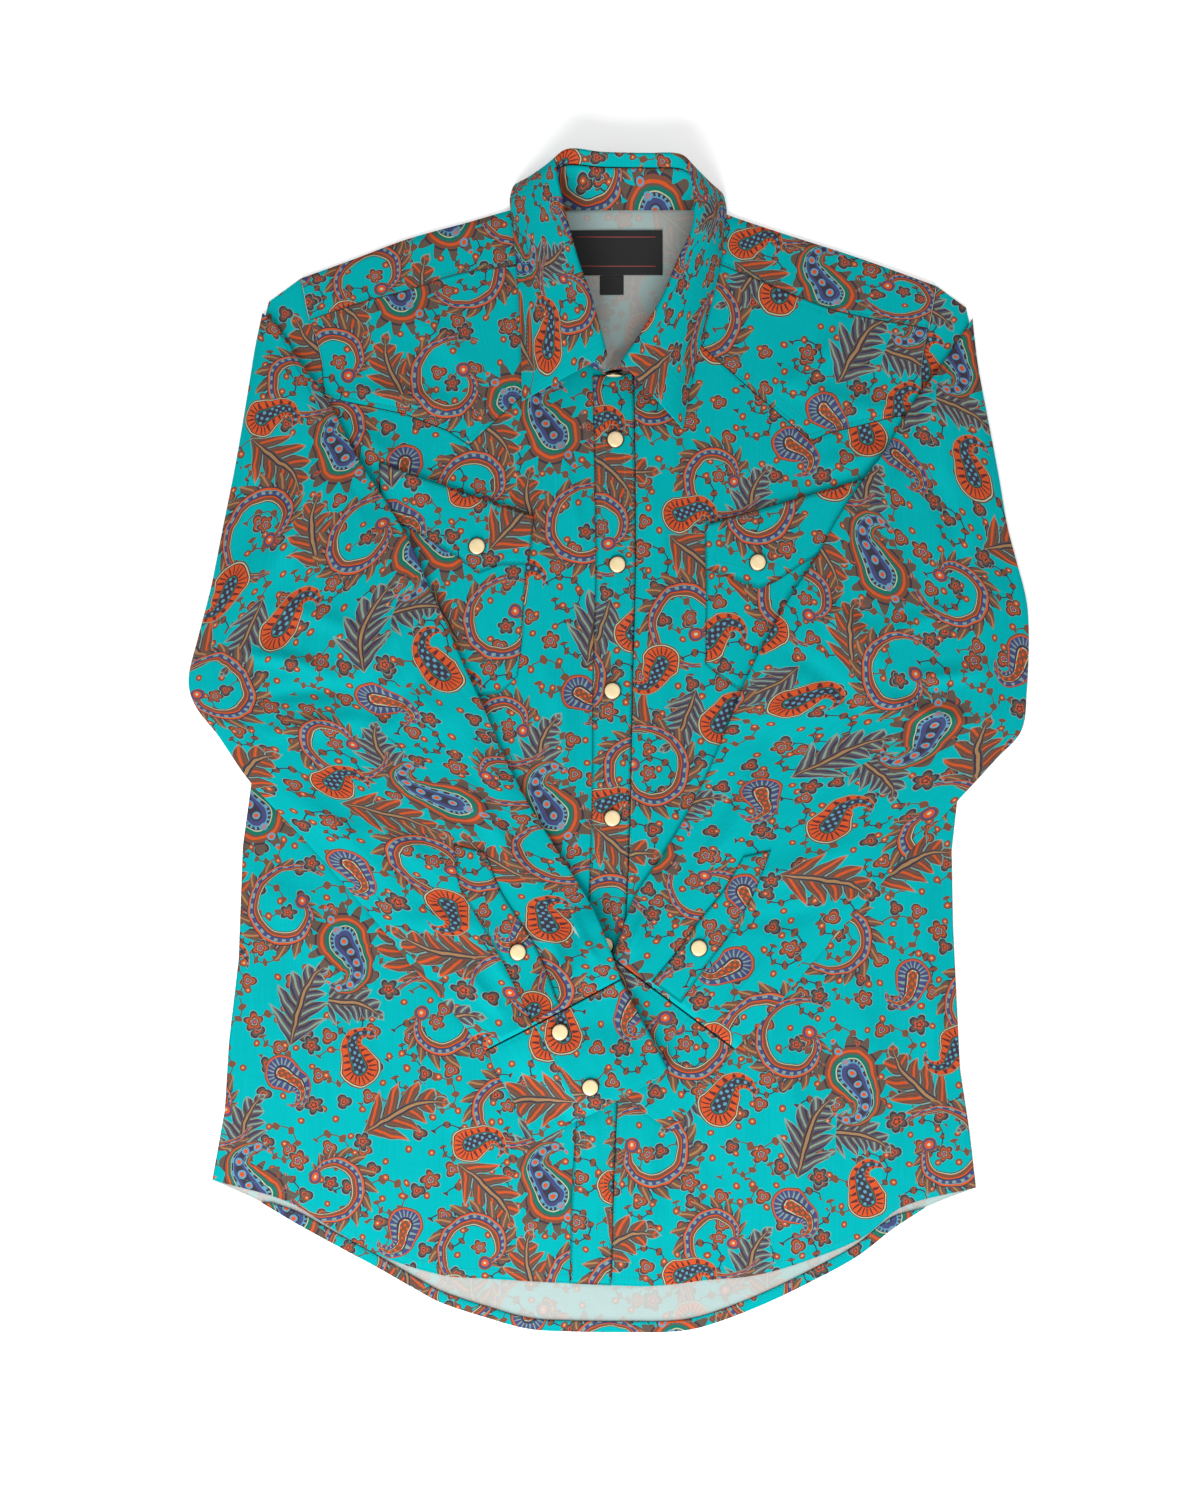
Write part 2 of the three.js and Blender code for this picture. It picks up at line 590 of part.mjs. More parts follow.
const RIGHT_GAUNTLET = {
  left: plan([[-54.7, -202], [-77.8, -154.8], [-95.8, -123.8], [-106.6, -105], [-111, -74.2]]),
  right: plan([[-35, -188], [-49.7, -152], [-62, -131], [-77, -107.3], [-88, -80]]),
};
const LEFT_GAUNTLET = {
  left: plan([[31, -172.5], [49, -150.5], [66.2, -126.7], [82, -107.3], [96.5, -82.8]]),
  right: plan([[52, -188], [72, -159], [86.4, -139.7], [103.7, -110.9], [116.6, -78.5]]),
};

// A closed cuff: its under end lies on its lower ply and its top end on both
function cuffBand(corners, level) {
  const [seamOuter, seamInner, hemInner, hemOuter] = corners;
  const UNDER_END = 0.56; // where the hidden end stops
  const TOP_END = 0.37; // where the snapped end stops
  const width = Math.hypot(seamInner.x - seamOuter.x, seamInner.y - seamOuter.y);
  const tuck = CUFF_CLOTH / width;
  const second = CUFF_LAYER;
  const third = 2 * CUFF_LAYER;
  const section = [
    [UNDER_END, second], [0.3, second], [2 * tuck, second], [tuck, (second + CUFF_CLOTH) / 2],
    [2 * tuck, CUFF_CLOTH], [0.3, CUFF_CLOTH], [0.56, CUFF_CLOTH], [0.8, CUFF_CLOTH],
    [1 - 2 * tuck, CUFF_CLOTH],
    [1 - tuck, (third + CUFF_CLOTH) / 2], [1 - 2 * tuck, third], [0.8, third],
    [0.58, third], [TOP_END, third], [TOP_END, third + CUFF_CLOTH], [0.58, third + CUFF_CLOTH],
    [0.8, third + CUFF_CLOTH], [1 - 2 * tuck, third + CUFF_CLOTH], [1, (third + CUFF_CLOTH) / 2],
    [1 - 2 * tuck, 0], [0.8, 0], [0.56, 0], [0.3, 0], [2 * tuck, 0], [0, (second + CUFF_CLOTH) / 2],
    [2 * tuck, second + CUFF_CLOTH], [0.3, second + CUFF_CLOTH], [UNDER_END, second + CUFF_CLOTH],
  ];
  const rings = [];
  const STEPS = 5;
  for (let k = 0; k <= STEPS; k += 1) {
    const v = k / STEPS;
    const start = { x: mix(seamOuter.x, hemOuter.x, v), y: mix(seamOuter.y, hemOuter.y, v) };
    const end = { x: mix(seamInner.x, hemInner.x, v), y: mix(seamInner.y, hemInner.y, v) };
    rings.push(section.map(([u, z]) => {
      const x = mix(start.x, end.x, u);
      const y = mix(start.y, end.y, u);
      return { x, y, z: level(x, y) + z };
    }));
  }
  return loft(rings);
}

const apart = (corners, gap) => {
  const [a, b, c, d] = corners;
  const length = Math.hypot(d.x - a.x, d.y - a.y);
  const dx = ((d.x - a.x) / length) * gap;
  const dy = ((d.y - a.y) / length) * gap;
  return [{ x: a.x + dx, y: a.y + dy }, { x: b.x + dx, y: b.y + dy }, c, d];
};

function buildSleeves() {
  const rightHead = [...RIGHT_SIDE.slice(7), ...RIGHT_ARMHOLE.slice(1)];
  const leftHead = [...LEFT_SIDE.slice(7), ...LEFT_ARMHOLE.slice(1)];
  const left = add('sleeve_left', sleeve(LEFT_SLEEVE, onBody, leftHead, -1), clothMaterial());
  const right = add('sleeve_right', sleeve(RIGHT_SLEEVE, onLeftSleeve, rightHead, 1), clothMaterial());
  add('cuff_left', cuffBand(apart(LEFT_CUFF, 3 * GAP), onBody), clothMaterial());
  add('cuff_right', cuffBand(apart(RIGHT_CUFF, 3 * GAP), onLeftSleeve), clothMaterial());
  const strip = (shape, under) => ply({
    bottom: straightLine([shape.left[0], shape.right[0]]),
    top: straightLine([shape.left.at(-1), shape.right.at(-1)]),
    left: curve(shape.left),
    right: curve(shape.right),
  }, (x, y) => topOf(under, x, y) + 1.5 * GAP, 3, 16);
  add('gauntlet_right', strip(RIGHT_GAUNTLET, right), clothMaterial());
  add('gauntlet_left', strip(LEFT_GAUNTLET, left), clothMaterial());
}

// Collar: one row for each section, from the right front round the back to the left front.
// seam is on the neck, roll is the fold at the top and edge is the leaf's free edge.
const COLLAR = table([
  'seamX', 'seamY', 'seamZ', 'rollX', 'rollY', 'rollZ', 'edgeX', 'edgeY', 'edgeZ', 'bulge',
], [
  [-8, 266, 5.2, -1, 275, 27, -61.9, 244, 4.4, 4],
  [-20, 275, 4.8, -6, 296, 27, -62.5, 283, 4.6, 5],
  [-30, 291, 4.2, -12, 318, 27, -64, 319, 4.6, 5],
  [-42, 320, 4.1, -20, 339, 27, -65.5, 340, 4.6, 5],
  [-51, 350, 4.1, -28, 367, 27, -68.5, 372, 4.6, 5],
  [-54, 370, 4.1, -32.5, 385, 28, -70, 391, 4.4, 4],
  [-50, 381, 3.8, -37, 413, 29, -62, 401, 3.2, 2],
  [-36, 382, 2.8, -27.4, 422.5, 27, -42, 394, 2.0, -0.5],
  [-8, 382, 2.6, -6, 421, 25, -8, 389, 1.8, -1],
  [12, 382, 2.6, 12, 420.5, 24, 12, 388, 1.8, -1],
  [32, 382, 2.6, 30, 420, 25, 32, 389, 1.8, -1],
  [56, 382, 2.8, 49, 419, 27, 60, 393, 2.0, -0.5],
  [68, 381, 3.8, 56.5, 412, 29, 77, 396, 3.2, 2],
  [72, 370, 4.1, 61.5, 385, 28, 84, 384, 4.4, 4],
  [69.5, 350, 4.1, 60, 366, 27, 83, 366, 4.6, 5],
  [63, 326, 4.1, 49, 342, 27, 79, 338, 4.6, 5],
  [53, 303, 4.2, 39, 318, 27, 70, 301, 4.6, 5],
  [38, 281, 5, 26, 296, 27, 60, 262, 4.6, 5],
  [16, 266, 5.8, 9, 270, 27, 53.3, 224, 4.6, 4],
]);
// The stand's left end, snapped over the right one
const STAND_END = { seamX: -4, seamY: 263.4, seamZ: 4.9, rollX: -4, rollY: 264.4, rollZ: 24 };
const LEAF_SEAM = 0.26; // where the leaf joins the stand, as a share of the way from roll to neck seam
const STAND_SHORT = 0.02; // gap at that seam, as such a share
const LEAF_RISE = 0.25; // share of the leaf's grid that climbs from the stand to the roll

function buildCollar() {
  const leafRows = COLLAR.map((r) => ({ x: r.rollX, y: r.rollY, ...r }));
  const standEnd = { ...leafRows.at(-1), ...STAND_END, x: STAND_END.rollX, y: STAND_END.rollY };
  const stand = curve([...leafRows, standEnd]);
  const leaf = curve(leafRows);
  const point = (r, name) => new THREE.Vector3(r[`${name}X`], r[`${name}Y`], r[`${name}Z`]);
  const standAt = (u, v) => {
    const r = stand(u);
    return point(r, 'seam').lerp(point(r, 'roll'), v * (1 - LEAF_SEAM - STAND_SHORT));
  };
  const leafAt = (u, v) => {
    const r = leaf(u);
    const seam = point(r, 'seam');
    const roll = point(r, 'roll');
    const edge = point(r, 'edge');
    const join = roll.clone().lerp(seam, LEAF_SEAM);
    if (v <= LEAF_RISE) return join.lerp(roll, v / LEAF_RISE);
    const w = (v - LEAF_RISE) / (1 - LEAF_RISE);
    const lifted = r.bulge * 4 * w * (1 - w);
    return roll.lerp(edge, w).add(new THREE.Vector3(0, 0, lifted));
  };
  add('collar_stand', skin(standAt, 2 * COLLAR.length, 2), clothMaterial());
  add('collar_leaf', skin(leafAt, 2 * (COLLAR.length - 1), 6), clothMaterial());
}

// A wall on a curved sheet, thickened along the sheet's own normals
function skin(sheet, across, along) {
  const small = 0.004;
  const normal = (u, v) => {
    const du = sheet(Math.min(1, u + small), v).sub(sheet(Math.max(0, u - small), v));
    const step = 0.6 / along;
    const dv = sheet(u, Math.min(1, v + step)).sub(sheet(u, Math.max(0, v - step)));
    return du.cross(dv).normalize();
  };
  const face = (offset) => (u, v) => sheet(u, v).addScaledVector(normal(u, v), offset);
  return outward(wall(face(0), face(CLOTH), across, along));
}

// Label and size tab inside the neck
function buildLabels() {
  const tab = (name, x0, x1, y0, y1) => add(name, ply({
    bottom: straightLine(plan([[x0, y0], [x1, y0]])),
    top: straightLine(plan([[x0, y1], [x1, y1]])),
    left: straightLine(plan([[x0, y0], [x0, y1]])),
    right: straightLine(plan([[x1, y0], [x1, y1]])),
  }, () => LAYER, 2, 1), paint(LABEL_COLOUR, 0.6));
  tab('neck_label', -28, 39, 335.2, 367.5);
  tab('size_tab', -6, 11, 321, 335.2 - GAP);
}

// A snap cap: a pearl face in a thin metal rim
function snapCap() {
  const profile = [
    [0, 0], [SNAP_RIM_RADIUS, 0], [SNAP_RIM_RADIUS, 1.3], [SNAP_RADIUS, 1.9],
    [SNAP_RADIUS * 0.6, SNAP_HEIGHT - 0.2], [0, SNAP_HEIGHT],
  ].map(([r, z]) => new THREE.Vector2(r, z));
  const geometry = new THREE.LatheGeometry(profile, 12);
  geometry.rotateX(Math.PI / 2);
  geometry.deleteAttribute('normal');
  geometry.deleteAttribute('uv');
  return outward(mergeVertices(geometry, 1e-4));
}

const COLLAR_SNAP = { x: 4, z: 12.4 };
const RIGHT_CUFF_SNAPS = plan([[-34.6, -208], [-13, -247.3]]);

function buildSnaps() {
  const cloth = (name) => shirt.getObjectByName(name);
  const place = (name, spot, under) => {
    const around = [0, 1, 2, 3, 4, 5].map((i) => (i * Math.PI) / 3);
    const heights = around.map((a) => topOf(
      under, spot.x + SNAP_RIM_RADIUS * Math.cos(a), spot.y + SNAP_RIM_RADIUS * Math.sin(a),
    ));
    const mesh = add(name, snapCap(), paint(SNAP_COLOUR, 0.35));
    mesh.position.set(spot.x, spot.y, Math.max(topOf(under, spot.x, spot.y), ...heights) + GAP / 2);
  };
  PLACKET_SNAPS.forEach((spot, i) => place(`snap_placket_${i + 1}`, spot, cloth('placket')));
  place('snap_flap_right', { x: -94.3, y: 139.7 }, cloth('flap_right'));
  place('snap_flap_left', { x: 107.3, y: 128.2 }, cloth('flap_left'));
  place('snap_gauntlet_right', { x: -64.8, y: -151.2 }, cloth('gauntlet_right'));
  place('snap_gauntlet_left', { x: 64.8, y: -148.3 }, cloth('gauntlet_left'));
  RIGHT_CUFF_SNAPS.forEach((spot, i) => place(`snap_cuff_right_${i + 1}`, spot, cloth('cuff_right')));

  const collarSnap = add('snap_collar', snapCap(), paint(SNAP_COLOUR, 0.35));
  const reach = [-1, 0, 1].flatMap((i) => [-1, 0, 1].map((k) => meet(
    cloth('collar_stand'),
    [COLLAR_SNAP.x + i * SNAP_RIM_RADIUS, 200, COLLAR_SNAP.z + k * SNAP_RIM_RADIUS], [0, 1, 0],
  ).y));
  collarSnap.rotation.x = Math.PI / 2;
  collarSnap.position.set(COLLAR_SNAP.x, Math.min(...reach) - GAP / 2, COLLAR_SNAP.z);
}

buildBack();
buildBackYoke();
buildFronts();
buildFrontYokes();
buildPockets();
buildSleeves();
buildCollar();
buildLabels();
buildSnaps();

export default shirt;
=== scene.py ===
"""A western snap shirt of printed cotton, laid face up with both sleeves folded across the front."""
import math

import bmesh
import bpy
import numpy as np
from mathutils import Matrix, Vector
from mathutils.bvhtree import BVHTree


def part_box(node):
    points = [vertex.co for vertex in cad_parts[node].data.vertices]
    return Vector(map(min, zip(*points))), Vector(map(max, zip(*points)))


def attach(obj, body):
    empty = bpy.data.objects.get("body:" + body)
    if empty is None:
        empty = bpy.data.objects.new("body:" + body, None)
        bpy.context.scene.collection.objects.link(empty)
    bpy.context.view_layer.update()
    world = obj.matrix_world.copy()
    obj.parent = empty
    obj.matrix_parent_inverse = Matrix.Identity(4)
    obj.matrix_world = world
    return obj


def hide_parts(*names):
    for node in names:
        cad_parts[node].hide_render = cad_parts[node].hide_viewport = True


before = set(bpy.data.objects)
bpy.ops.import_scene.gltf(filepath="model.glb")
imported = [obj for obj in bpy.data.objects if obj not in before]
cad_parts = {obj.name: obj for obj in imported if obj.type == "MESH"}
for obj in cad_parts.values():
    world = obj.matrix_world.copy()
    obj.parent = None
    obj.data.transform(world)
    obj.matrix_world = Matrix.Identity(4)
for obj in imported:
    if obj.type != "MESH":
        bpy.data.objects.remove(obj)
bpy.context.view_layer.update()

# Sizes in millimetres, as in the CAD model
CLOTH = 1.2
GAP = 0.3
LAYER = CLOTH + GAP
CUFF_CLOTH = 1.5
CUFF_LAYER = CUFF_CLOTH + GAP
BODY_LOFT = 2.6
CHEST_HALF = 235
TROUGH_ROOM = 0.5
LAP_RAMP = 45
SLEEVE_THICK = 2 * CLOTH + 2.2
SLEEVE_CLEAR = 0.5
PLEAT_DROP = 1.0
SNAP_RADIUS = 5.8
SNAP_RIM_RADIUS = 6.4
SNAP_HEIGHT = 2.6
HEM_TURN = 8
UNDER_LAP = 5
HEM_ENDS = [(-242, -332.2), (220.2, -337.5)]  # of the turned hem's inner edge
HEM_PINCH = 0.99
SEAM_IN = 1.9  # from an edge to its stitches
HEM_IN = 6.5
SECOND_ROW_IN = 7.5
DENT = 0.25  # how deep the stitches press into the cloth
DENT_WIDE = 0.8
FAR_IN = 50.0  # edge distance given to cloth with no seam beside it, far enough that it gets no painted edge shade
RIM = (0, 0.2, 0.5, 1.0, 1.7, 2.5, 3.6)  # grid lines beside an edge

# Camera: straight down, at the photo's framing
VIEW_CENTRE = (-0.006, -0.0065)
VIEW_TALL = 1.08
VIEW_FROM = 2.6


def set_camera():
    data = bpy.data.cameras.new("camera")
    data.sensor_fit = "VERTICAL"
    data.sensor_height = 36
    data.lens = 36 * VIEW_FROM / VIEW_TALL
    camera = bpy.data.objects.new("camera", data)
    camera.location = (*VIEW_CENTRE, VIEW_FROM)
    bpy.context.scene.collection.objects.link(camera)
    bpy.context.scene.camera = camera


set_camera()


# Curves, patches and levels, all on arrays

def smoothstep(low, high, value):
    t = np.clip((value - low) / (high - low), 0, 1)
    return t * t * (3 - 2 * t)


def curve(rows, straight=False):
    """A curve through rows of numbers, the first two x and y. t runs evenly from row to row."""
    rows = np.asarray(rows, float)
    last = len(rows) - 1
    length = np.hypot(*(rows[1:, :2] - rows[:-1, :2]).T)
    length[length == 0] = 1
    slope = []
    for i in range(last + 1):
        a, b = max(0, i - 1), min(last, i + 1)
        run = (length[a] if a < i else 0) + (length[i] if b > i else 0)
        slope.append((rows[b] - rows[a]) / run)
    slope = np.array(slope)

    def at(t):
        s = np.clip(np.asarray(t, float), 0, 1) * last
        i = np.minimum(last - 1, np.floor(s + 1e-9).astype(int))
        a = (s - i)[..., None]
        rise = rows[i + 1] - rows[i]
        point = rows[i] + a * rise
        if not straight:
            lead = slope[i] * length[i][..., None] - rise
            trail = slope[i + 1] * length[i][..., None] - rise
            point = point + a * (1 - a) * ((1 - a) * lead - a * trail)
        return point

    return at


def straight(rows):
    return curve(rows, True)


def patch(bottom, top, left, right):
    a, b, c, d = bottom(0.0), bottom(1.0), top(0.0), top(1.0)

    def at(u, v):
        U, V = np.asarray(u, float)[..., None], np.asarray(v, float)[..., None]
        sides = (1 - V) * bottom(u) + V * top(u) + (1 - U) * left(v) + U * right(v)
        return sides - ((1 - V) * ((1 - U) * a + U * b) + V * ((1 - U) * c + U * d))

    return at


def distance_to(outline, x, y):
    """Distance from an outline in plan, negative inside it."""
    nearest = np.full(np.shape(x), 1e9)
    inside = np.zeros(np.shape(x), bool)
    points = np.asarray(outline, float)
    for a, b in zip(np.roll(points, 1, axis=0), points):
        dx, dy = b - a
        square = dx * dx + dy * dy or 1
        t = np.clip(((x - a[0]) * dx + (y - a[1]) * dy) / square, 0, 1)
        nearest = np.minimum(nearest, np.hypot(x - a[0] - t * dx, y - a[1] - t * dy))
        if dy:
            crosses = ((a[1] > y) != (b[1] > y)) & (x < a[0] + (y - a[1]) / dy * dx)
            inside ^= crosses
    return np.where(inside, -nearest, nearest)


def cover(outline, x, y, margin=12, ramp=25):
    return 1 - smoothstep(margin, margin + ramp, distance_to(outline, x, y))


def shifted(rows, dx, dy):
    return [(x + dx, y + dy) for x, y in rows]


# Outlines in plan, from the hem up or from the wearer's right to left

RIGHT_SIDE = [(-285, -316), (-276, -266), (-273, -217), (-266, -157), (-263, -76), (-257, -32),
              (-254, 40), (-250, 100), (-230, 130), (-215, 165), (-206, 205), (-204, 235)]
LEFT_SIDE = [(264.5, -321.5), (260, -282), (253, -236), (248, -133), (247, -79), (251, -43),
             (256, 40), (258, 100), (243, 130), (232, 165), (226, 205), (225.5, 235)]
RIGHT_ARMHOLE = [(-204, 235), (-204, 250), (-206, 273), (-210, 290), (-216, 305), (-221, 333)]
LEFT_ARMHOLE = [(225.5, 235), (225, 252), (225, 268), (227, 283), (231, 299), (236, 327.5)]
BACK_HEM = [(-285, -316), (-250, -332), (-225, -347), (-194, -364), (-166, -379), (-138, -395),
            (-121, -404), (-91, -414), (-58, -423), (-27, -425), (12, -425.5), (48, -425), (70, -421),
            (108, -407), (146, -389), (179, -371), (205, -351), (228, -336), (264.5, -321.5)]
RIGHT_FRONT_HEM = [(-285, -316), (-232, -331), (-198, -351), (-167, -369), (-121, -384), (-84, -387),
                   (-33, -390), (-3, -391)]
LEFT_FRONT_HEM = [(2.5, -391.5), (33, -392), (70, -388), (108, -384), (148, -372), (183, -357),
                  (212, -335), (264.5, -321.5)]
PLACKET_EDGE = [(-28, -390), (-26, -316), (-17, -180), (-12.2, -48), (-11.5, 40), (-9.4, 127),
                (-11.5, 262.5)]
PLACKET_SEAM = [(2.2, -391.5), (4, -316), (10, -180), (15, -70), (17.3, 40), (19.4, 127), (18.7, 238),
                (18.2, 264)]
PLACKET_FOOT = PLACKET_EDGE[0][1]
PLACKET_LONG = PLACKET_EDGE[-1][1] - PLACKET_FOOT
RIGHT_YOKE_SEAM = [(-204.5, 247), (-146, 234.7), (-116, 223), (-100, 212.4), (-63, 247), (-27, 283)]
LEFT_YOKE_SEAM = [(52, 297), (107, 248.4), (145.4, 215.3), (158.4, 221), (205, 232.6), (225, 236)]
RIGHT_SHOULDER_SEAM = [(-215.2, 303), (-177, 316), (-144, 324.7), (-109.4, 336), (-72, 342), (-49, 346)]
LEFT_SHOULDER_SEAM = [(69.5, 347), (80.6, 343), (119.5, 327), (153.4, 313.2), (175.7, 306.7), (230.5, 297)]
RIGHT_SHOULDER = [(-221, 333), (-185, 346), (-145, 361), (-100, 373.5), (-70, 382), (-56, 384)]
LEFT_SHOULDER = [(74, 384), (82, 380), (120, 367), (176, 349), (236, 327.5)]
BODY_OUTLINE = (RIGHT_SIDE + RIGHT_ARMHOLE + RIGHT_SHOULDER + LEFT_SHOULDER
                + LEFT_ARMHOLE[::-1] + LEFT_SIDE[::-1] + BACK_HEM[::-1])

RIGHT_POCKET = dict(
    bottom=[(-172, 72), (-160, 56), (-118, 36), (-80, 34), (-65.5, 46)], top=[(-164, 194), (-57, 157)],
    left=[(-172, 72), (-168, 133), (-164, 194)],
    right=[(-65.5, 46), (-62, 72.7), (-61, 93), (-59, 122), (-57, 157)])
LEFT_POCKET = dict(
    bottom=[(69.8, 54.7), (95, 36.7), (130, 33), (165, 42), (186, 70)], top=[(71, 151), (182, 183)],
    left=[(69.8, 54.7), (70, 100), (71, 151)], right=[(186, 70), (184, 126), (182, 183)])
RIGHT_FLAP = dict(
    bottom=[(-163, 163), (-135, 148), (-107, 131), (-93, 120), (-78, 126), (-57, 126.5)],
    top=[(-165, 200), (-53.3, 161.3)], left=[(-163, 163), (-165, 200)],
    right=[(-57, 126.5), (-53.3, 161.3)])
LEFT_FLAP = dict(
    bottom=[(69.8, 123), (88, 117), (107.3, 108.7), (121, 114.5), (140, 127.4), (180, 150)],
    top=[(69, 154.8), (183.6, 188.6)], left=[(69.8, 123), (69, 154.8)],
    right=[(180, 150), (183.6, 188.6)])


def outline_of(shape):
    return shape["bottom"] + shape["right"] + shape["top"][::-1] + shape["left"][::-1]


PLACKET_SNAPS = [(5, 216.7), (6.5, 126.7), (2.9, 36), (2.9, -55.4), (-2.2, -146.9), (-7.2, -238.3)]
FLAP_SNAPS = dict(snap_flap_right=(-94.3, 139.7), snap_flap_left=(107.3, 128.2))
GAUNTLET_SNAPS = dict(snap_gauntlet_right=(-64.8, -151.2), snap_gauntlet_left=(64.8, -148.3))
CUFF_SNAPS = [(-34.6, -208), (-13, -247.3)]
COLLAR_SNAP = (4, 12.4)

# Every height and half width in the tables of creases is multiplied by these
CREASE_HEIGHT = 2.6
CREASE_WIDTH = 0.85

# Creases in the body: where each runs in plan, its half width and its height, ridges up and troughs down
CREASES = [
    # x0, y0, x1, y1, half width, height
    (-196, 228, -128, 176, 9, 1.1), (-200, 205, -150, 150, 12, -0.9), (-190, 250, -100, 236, 8, 0.8),
    (-60, 236, -28, 190, 8, 0.9), (-34, 205, -22, 96, 6, 0.8), (-27, 150, -20, 20, 7, -0.8),
    (-44, 60, -30, -60, 9, 0.9), (36, 180, 30, 60, 7, 0.9), (44, 250, 36, 150, 8, 0.8),
    (52, 70, 34, -40, 9, -0.8), (205, 214, 150, 196, 9, 0.9), (214, 236, 120, 262, 9, 0.8),
    (176, 300, 120, 250, 10, 0.8), (-150, 312, -96, 262, 10, 0.8), (-120, 20, -60, -70, 14, 0.9),
    (-226, -40, -150, -110, 11, 1.0), (-254, -96, -196, -170, 14, 1.1), (-238, -180, -222, -300, 13, 1.0),
    (-186, -214, -176, -346, 16, 1.1), (-118, -262, -110, -372, 13, -0.9), (-62, -284, -56, -380, 12, 0.9),
    (28, -276, 24, -384, 9, 0.9), (72, -292, 80, -380, 13, -0.8), (122, -216, 132, -360, 14, 1.1),
    (178, -180, 196, -330, 15, 1.0), (226, -100, 232, -296, 14, 1.1), (236, -60, 168, -128, 12, 0.9),
    (96, 20, 60, -30, 12, 0.8), (-12, -270, -16, -380, 6, 0.5),
]


def ridges(table, x, y):
    total = np.zeros(np.shape(x))
    for x0, y0, x1, y1, width, height in table:
        dx, dy = x1 - x0, y1 - y0
        t = ((x - x0) * dx + (y - y0) * dy) / (dx * dx + dy * dy)
        aside = ((x - x0) * dy - (y - y0) * dx) / math.hypot(dx, dy)
        bend = aside + 0.05 * math.hypot(dx, dy) * np.sin(math.pi * np.clip(t, 0, 1))
        ends = smoothstep(-0.18, 0.3, t) * (1 - smoothstep(0.6, 1.18, t))
        total += CREASE_HEIGHT * height * ends * np.exp(-(bend / width / CREASE_WIDTH) ** 2)
    return total


placket_edge, placket_seam = curve(PLACKET_EDGE), curve(PLACKET_SEAM)


def lap(x, y):
    """The left front and its placket lie one ply above the right front."""
    t = (y - PLACKET_FOOT) / PLACKET_LONG
    aside = np.maximum(x - placket_seam(t)[..., 0], placket_edge(t)[..., 0] - x)
    return LAYER * (1 - smoothstep(2, LAP_RAMP, aside))


def under_front(x, y):
    across = np.maximum(0, 1 - (x / CHEST_HALF) ** 2)
    lengthways = smoothstep(-400, -220, y) * (1 - smoothstep(130, 290, y))
    inside = smoothstep(0, 26, -distance_to(BODY_OUTLINE, x, y))
    swell = BODY_LOFT * across * lengthways + (ridges(CREASES, x, y) + TROUGH_ROOM) * inside
    return LAYER + np.maximum(0, swell)


def on_floor(x, y):
    return 0 * x


def on_back(x, y):
    return LAYER + 0 * x


def left_front(x, y):
    return under_front(x, y) + lap(x, y)


def on_right_front(x, y):
    return under_front(x, y) + LAYER


def on_left_front(x, y):
    return left_front(x, y) + LAYER


def on_right_pocket(x, y):
    return on_right_front(x, y) + LAYER


def on_left_pocket(x, y):
    return on_left_front(x, y) + LAYER


def hump(spots, x, y):
    """How cloth rises over snaps: 1 over each spot and 0 from 40 mm off."""
    return np.maximum.reduce([1 - smoothstep(16, 40, np.hypot(x - sx, y - sy)) for sx, sy in spots])


POCKETS = [outline_of(shape) for shape in (RIGHT_POCKET, LEFT_POCKET, RIGHT_FLAP, LEFT_FLAP)]


def on_body(x, y):
    pockets = np.maximum.reduce([cover(outline, x, y) for outline in POCKETS])
    fronts = left_front(x, y) + LAYER + SLEEVE_CLEAR
    return (cover(BODY_OUTLINE, x, y) * fronts + 2 * LAYER * pockets
            + (SNAP_HEIGHT + GAP) * hump(PLACKET_SNAPS[4:], x, y))


# Sleeves: outer and inner edge of each section, from the shoulder down to the cuff seam
RIGHT_SLEEVE = [
    (-249, 308, -239, 300), (-254, 284, -222, 273), (-260, 247, -199, 240), (-268, 200, -180, 203),
    (-277, 155, -158, 169), (-286, 110, -141, 140), (-295, 75, -128, 109), (-302, 45, -118, 88),
    (-297, 25, -104, 55), (-280, 3, -90, 25), (-257, -30, -76, -8), (-225, -64, -60, -40),
    (-194, -98, -42, -70), (-165, -132, -25, -97), (-140, -163, -11, -120), (-114, -192, 0, -146),
    (-89, -222, 8.6, -170)]
LEFT_SLEEVE = [
    (262, 304, 258, 298), (266, 270, 240, 271), (273, 232, 217, 240), (281, 190, 199, 209),
    (287, 155, 184, 189), (294, 128, 165, 160.6), (301, 100, 148, 129.6), (302.5, 75, 134, 109),
    (301, 35, 117, 80), (297, 7, 104, 55), (278, -14, 94, 32), (251, -43, 86, 12), (210, -86, 70, -26),
    (182, -119, 55, -55), (153, -152, 38, -83), (124, -186, 19, -112), (91.4, -221, 3, -155)]
RIGHT_CUFF = [(-89, -222), (8.6, -170), (44, -237), (-52, -288)]
LEFT_CUFF = [(91.4, -221), (3, -155), (-43, -216), (46, -281)]
LEFT_SLEEVE_OUTLINE = [row[:2] for row in LEFT_SLEEVE] + [row[2:] for row in LEFT_SLEEVE[::-1]]


def on_left_sleeve(x, y):
    over_sleeve = cover(LEFT_SLEEVE_OUTLINE, x, y, ramp=28) * (SLEEVE_THICK + LAYER)
    over_cuff = cover(LEFT_CUFF, x, y, ramp=28) * (3 * CUFF_LAYER + LAYER)
    return on_body(x, y) + np.maximum(over_sleeve, over_cuff)


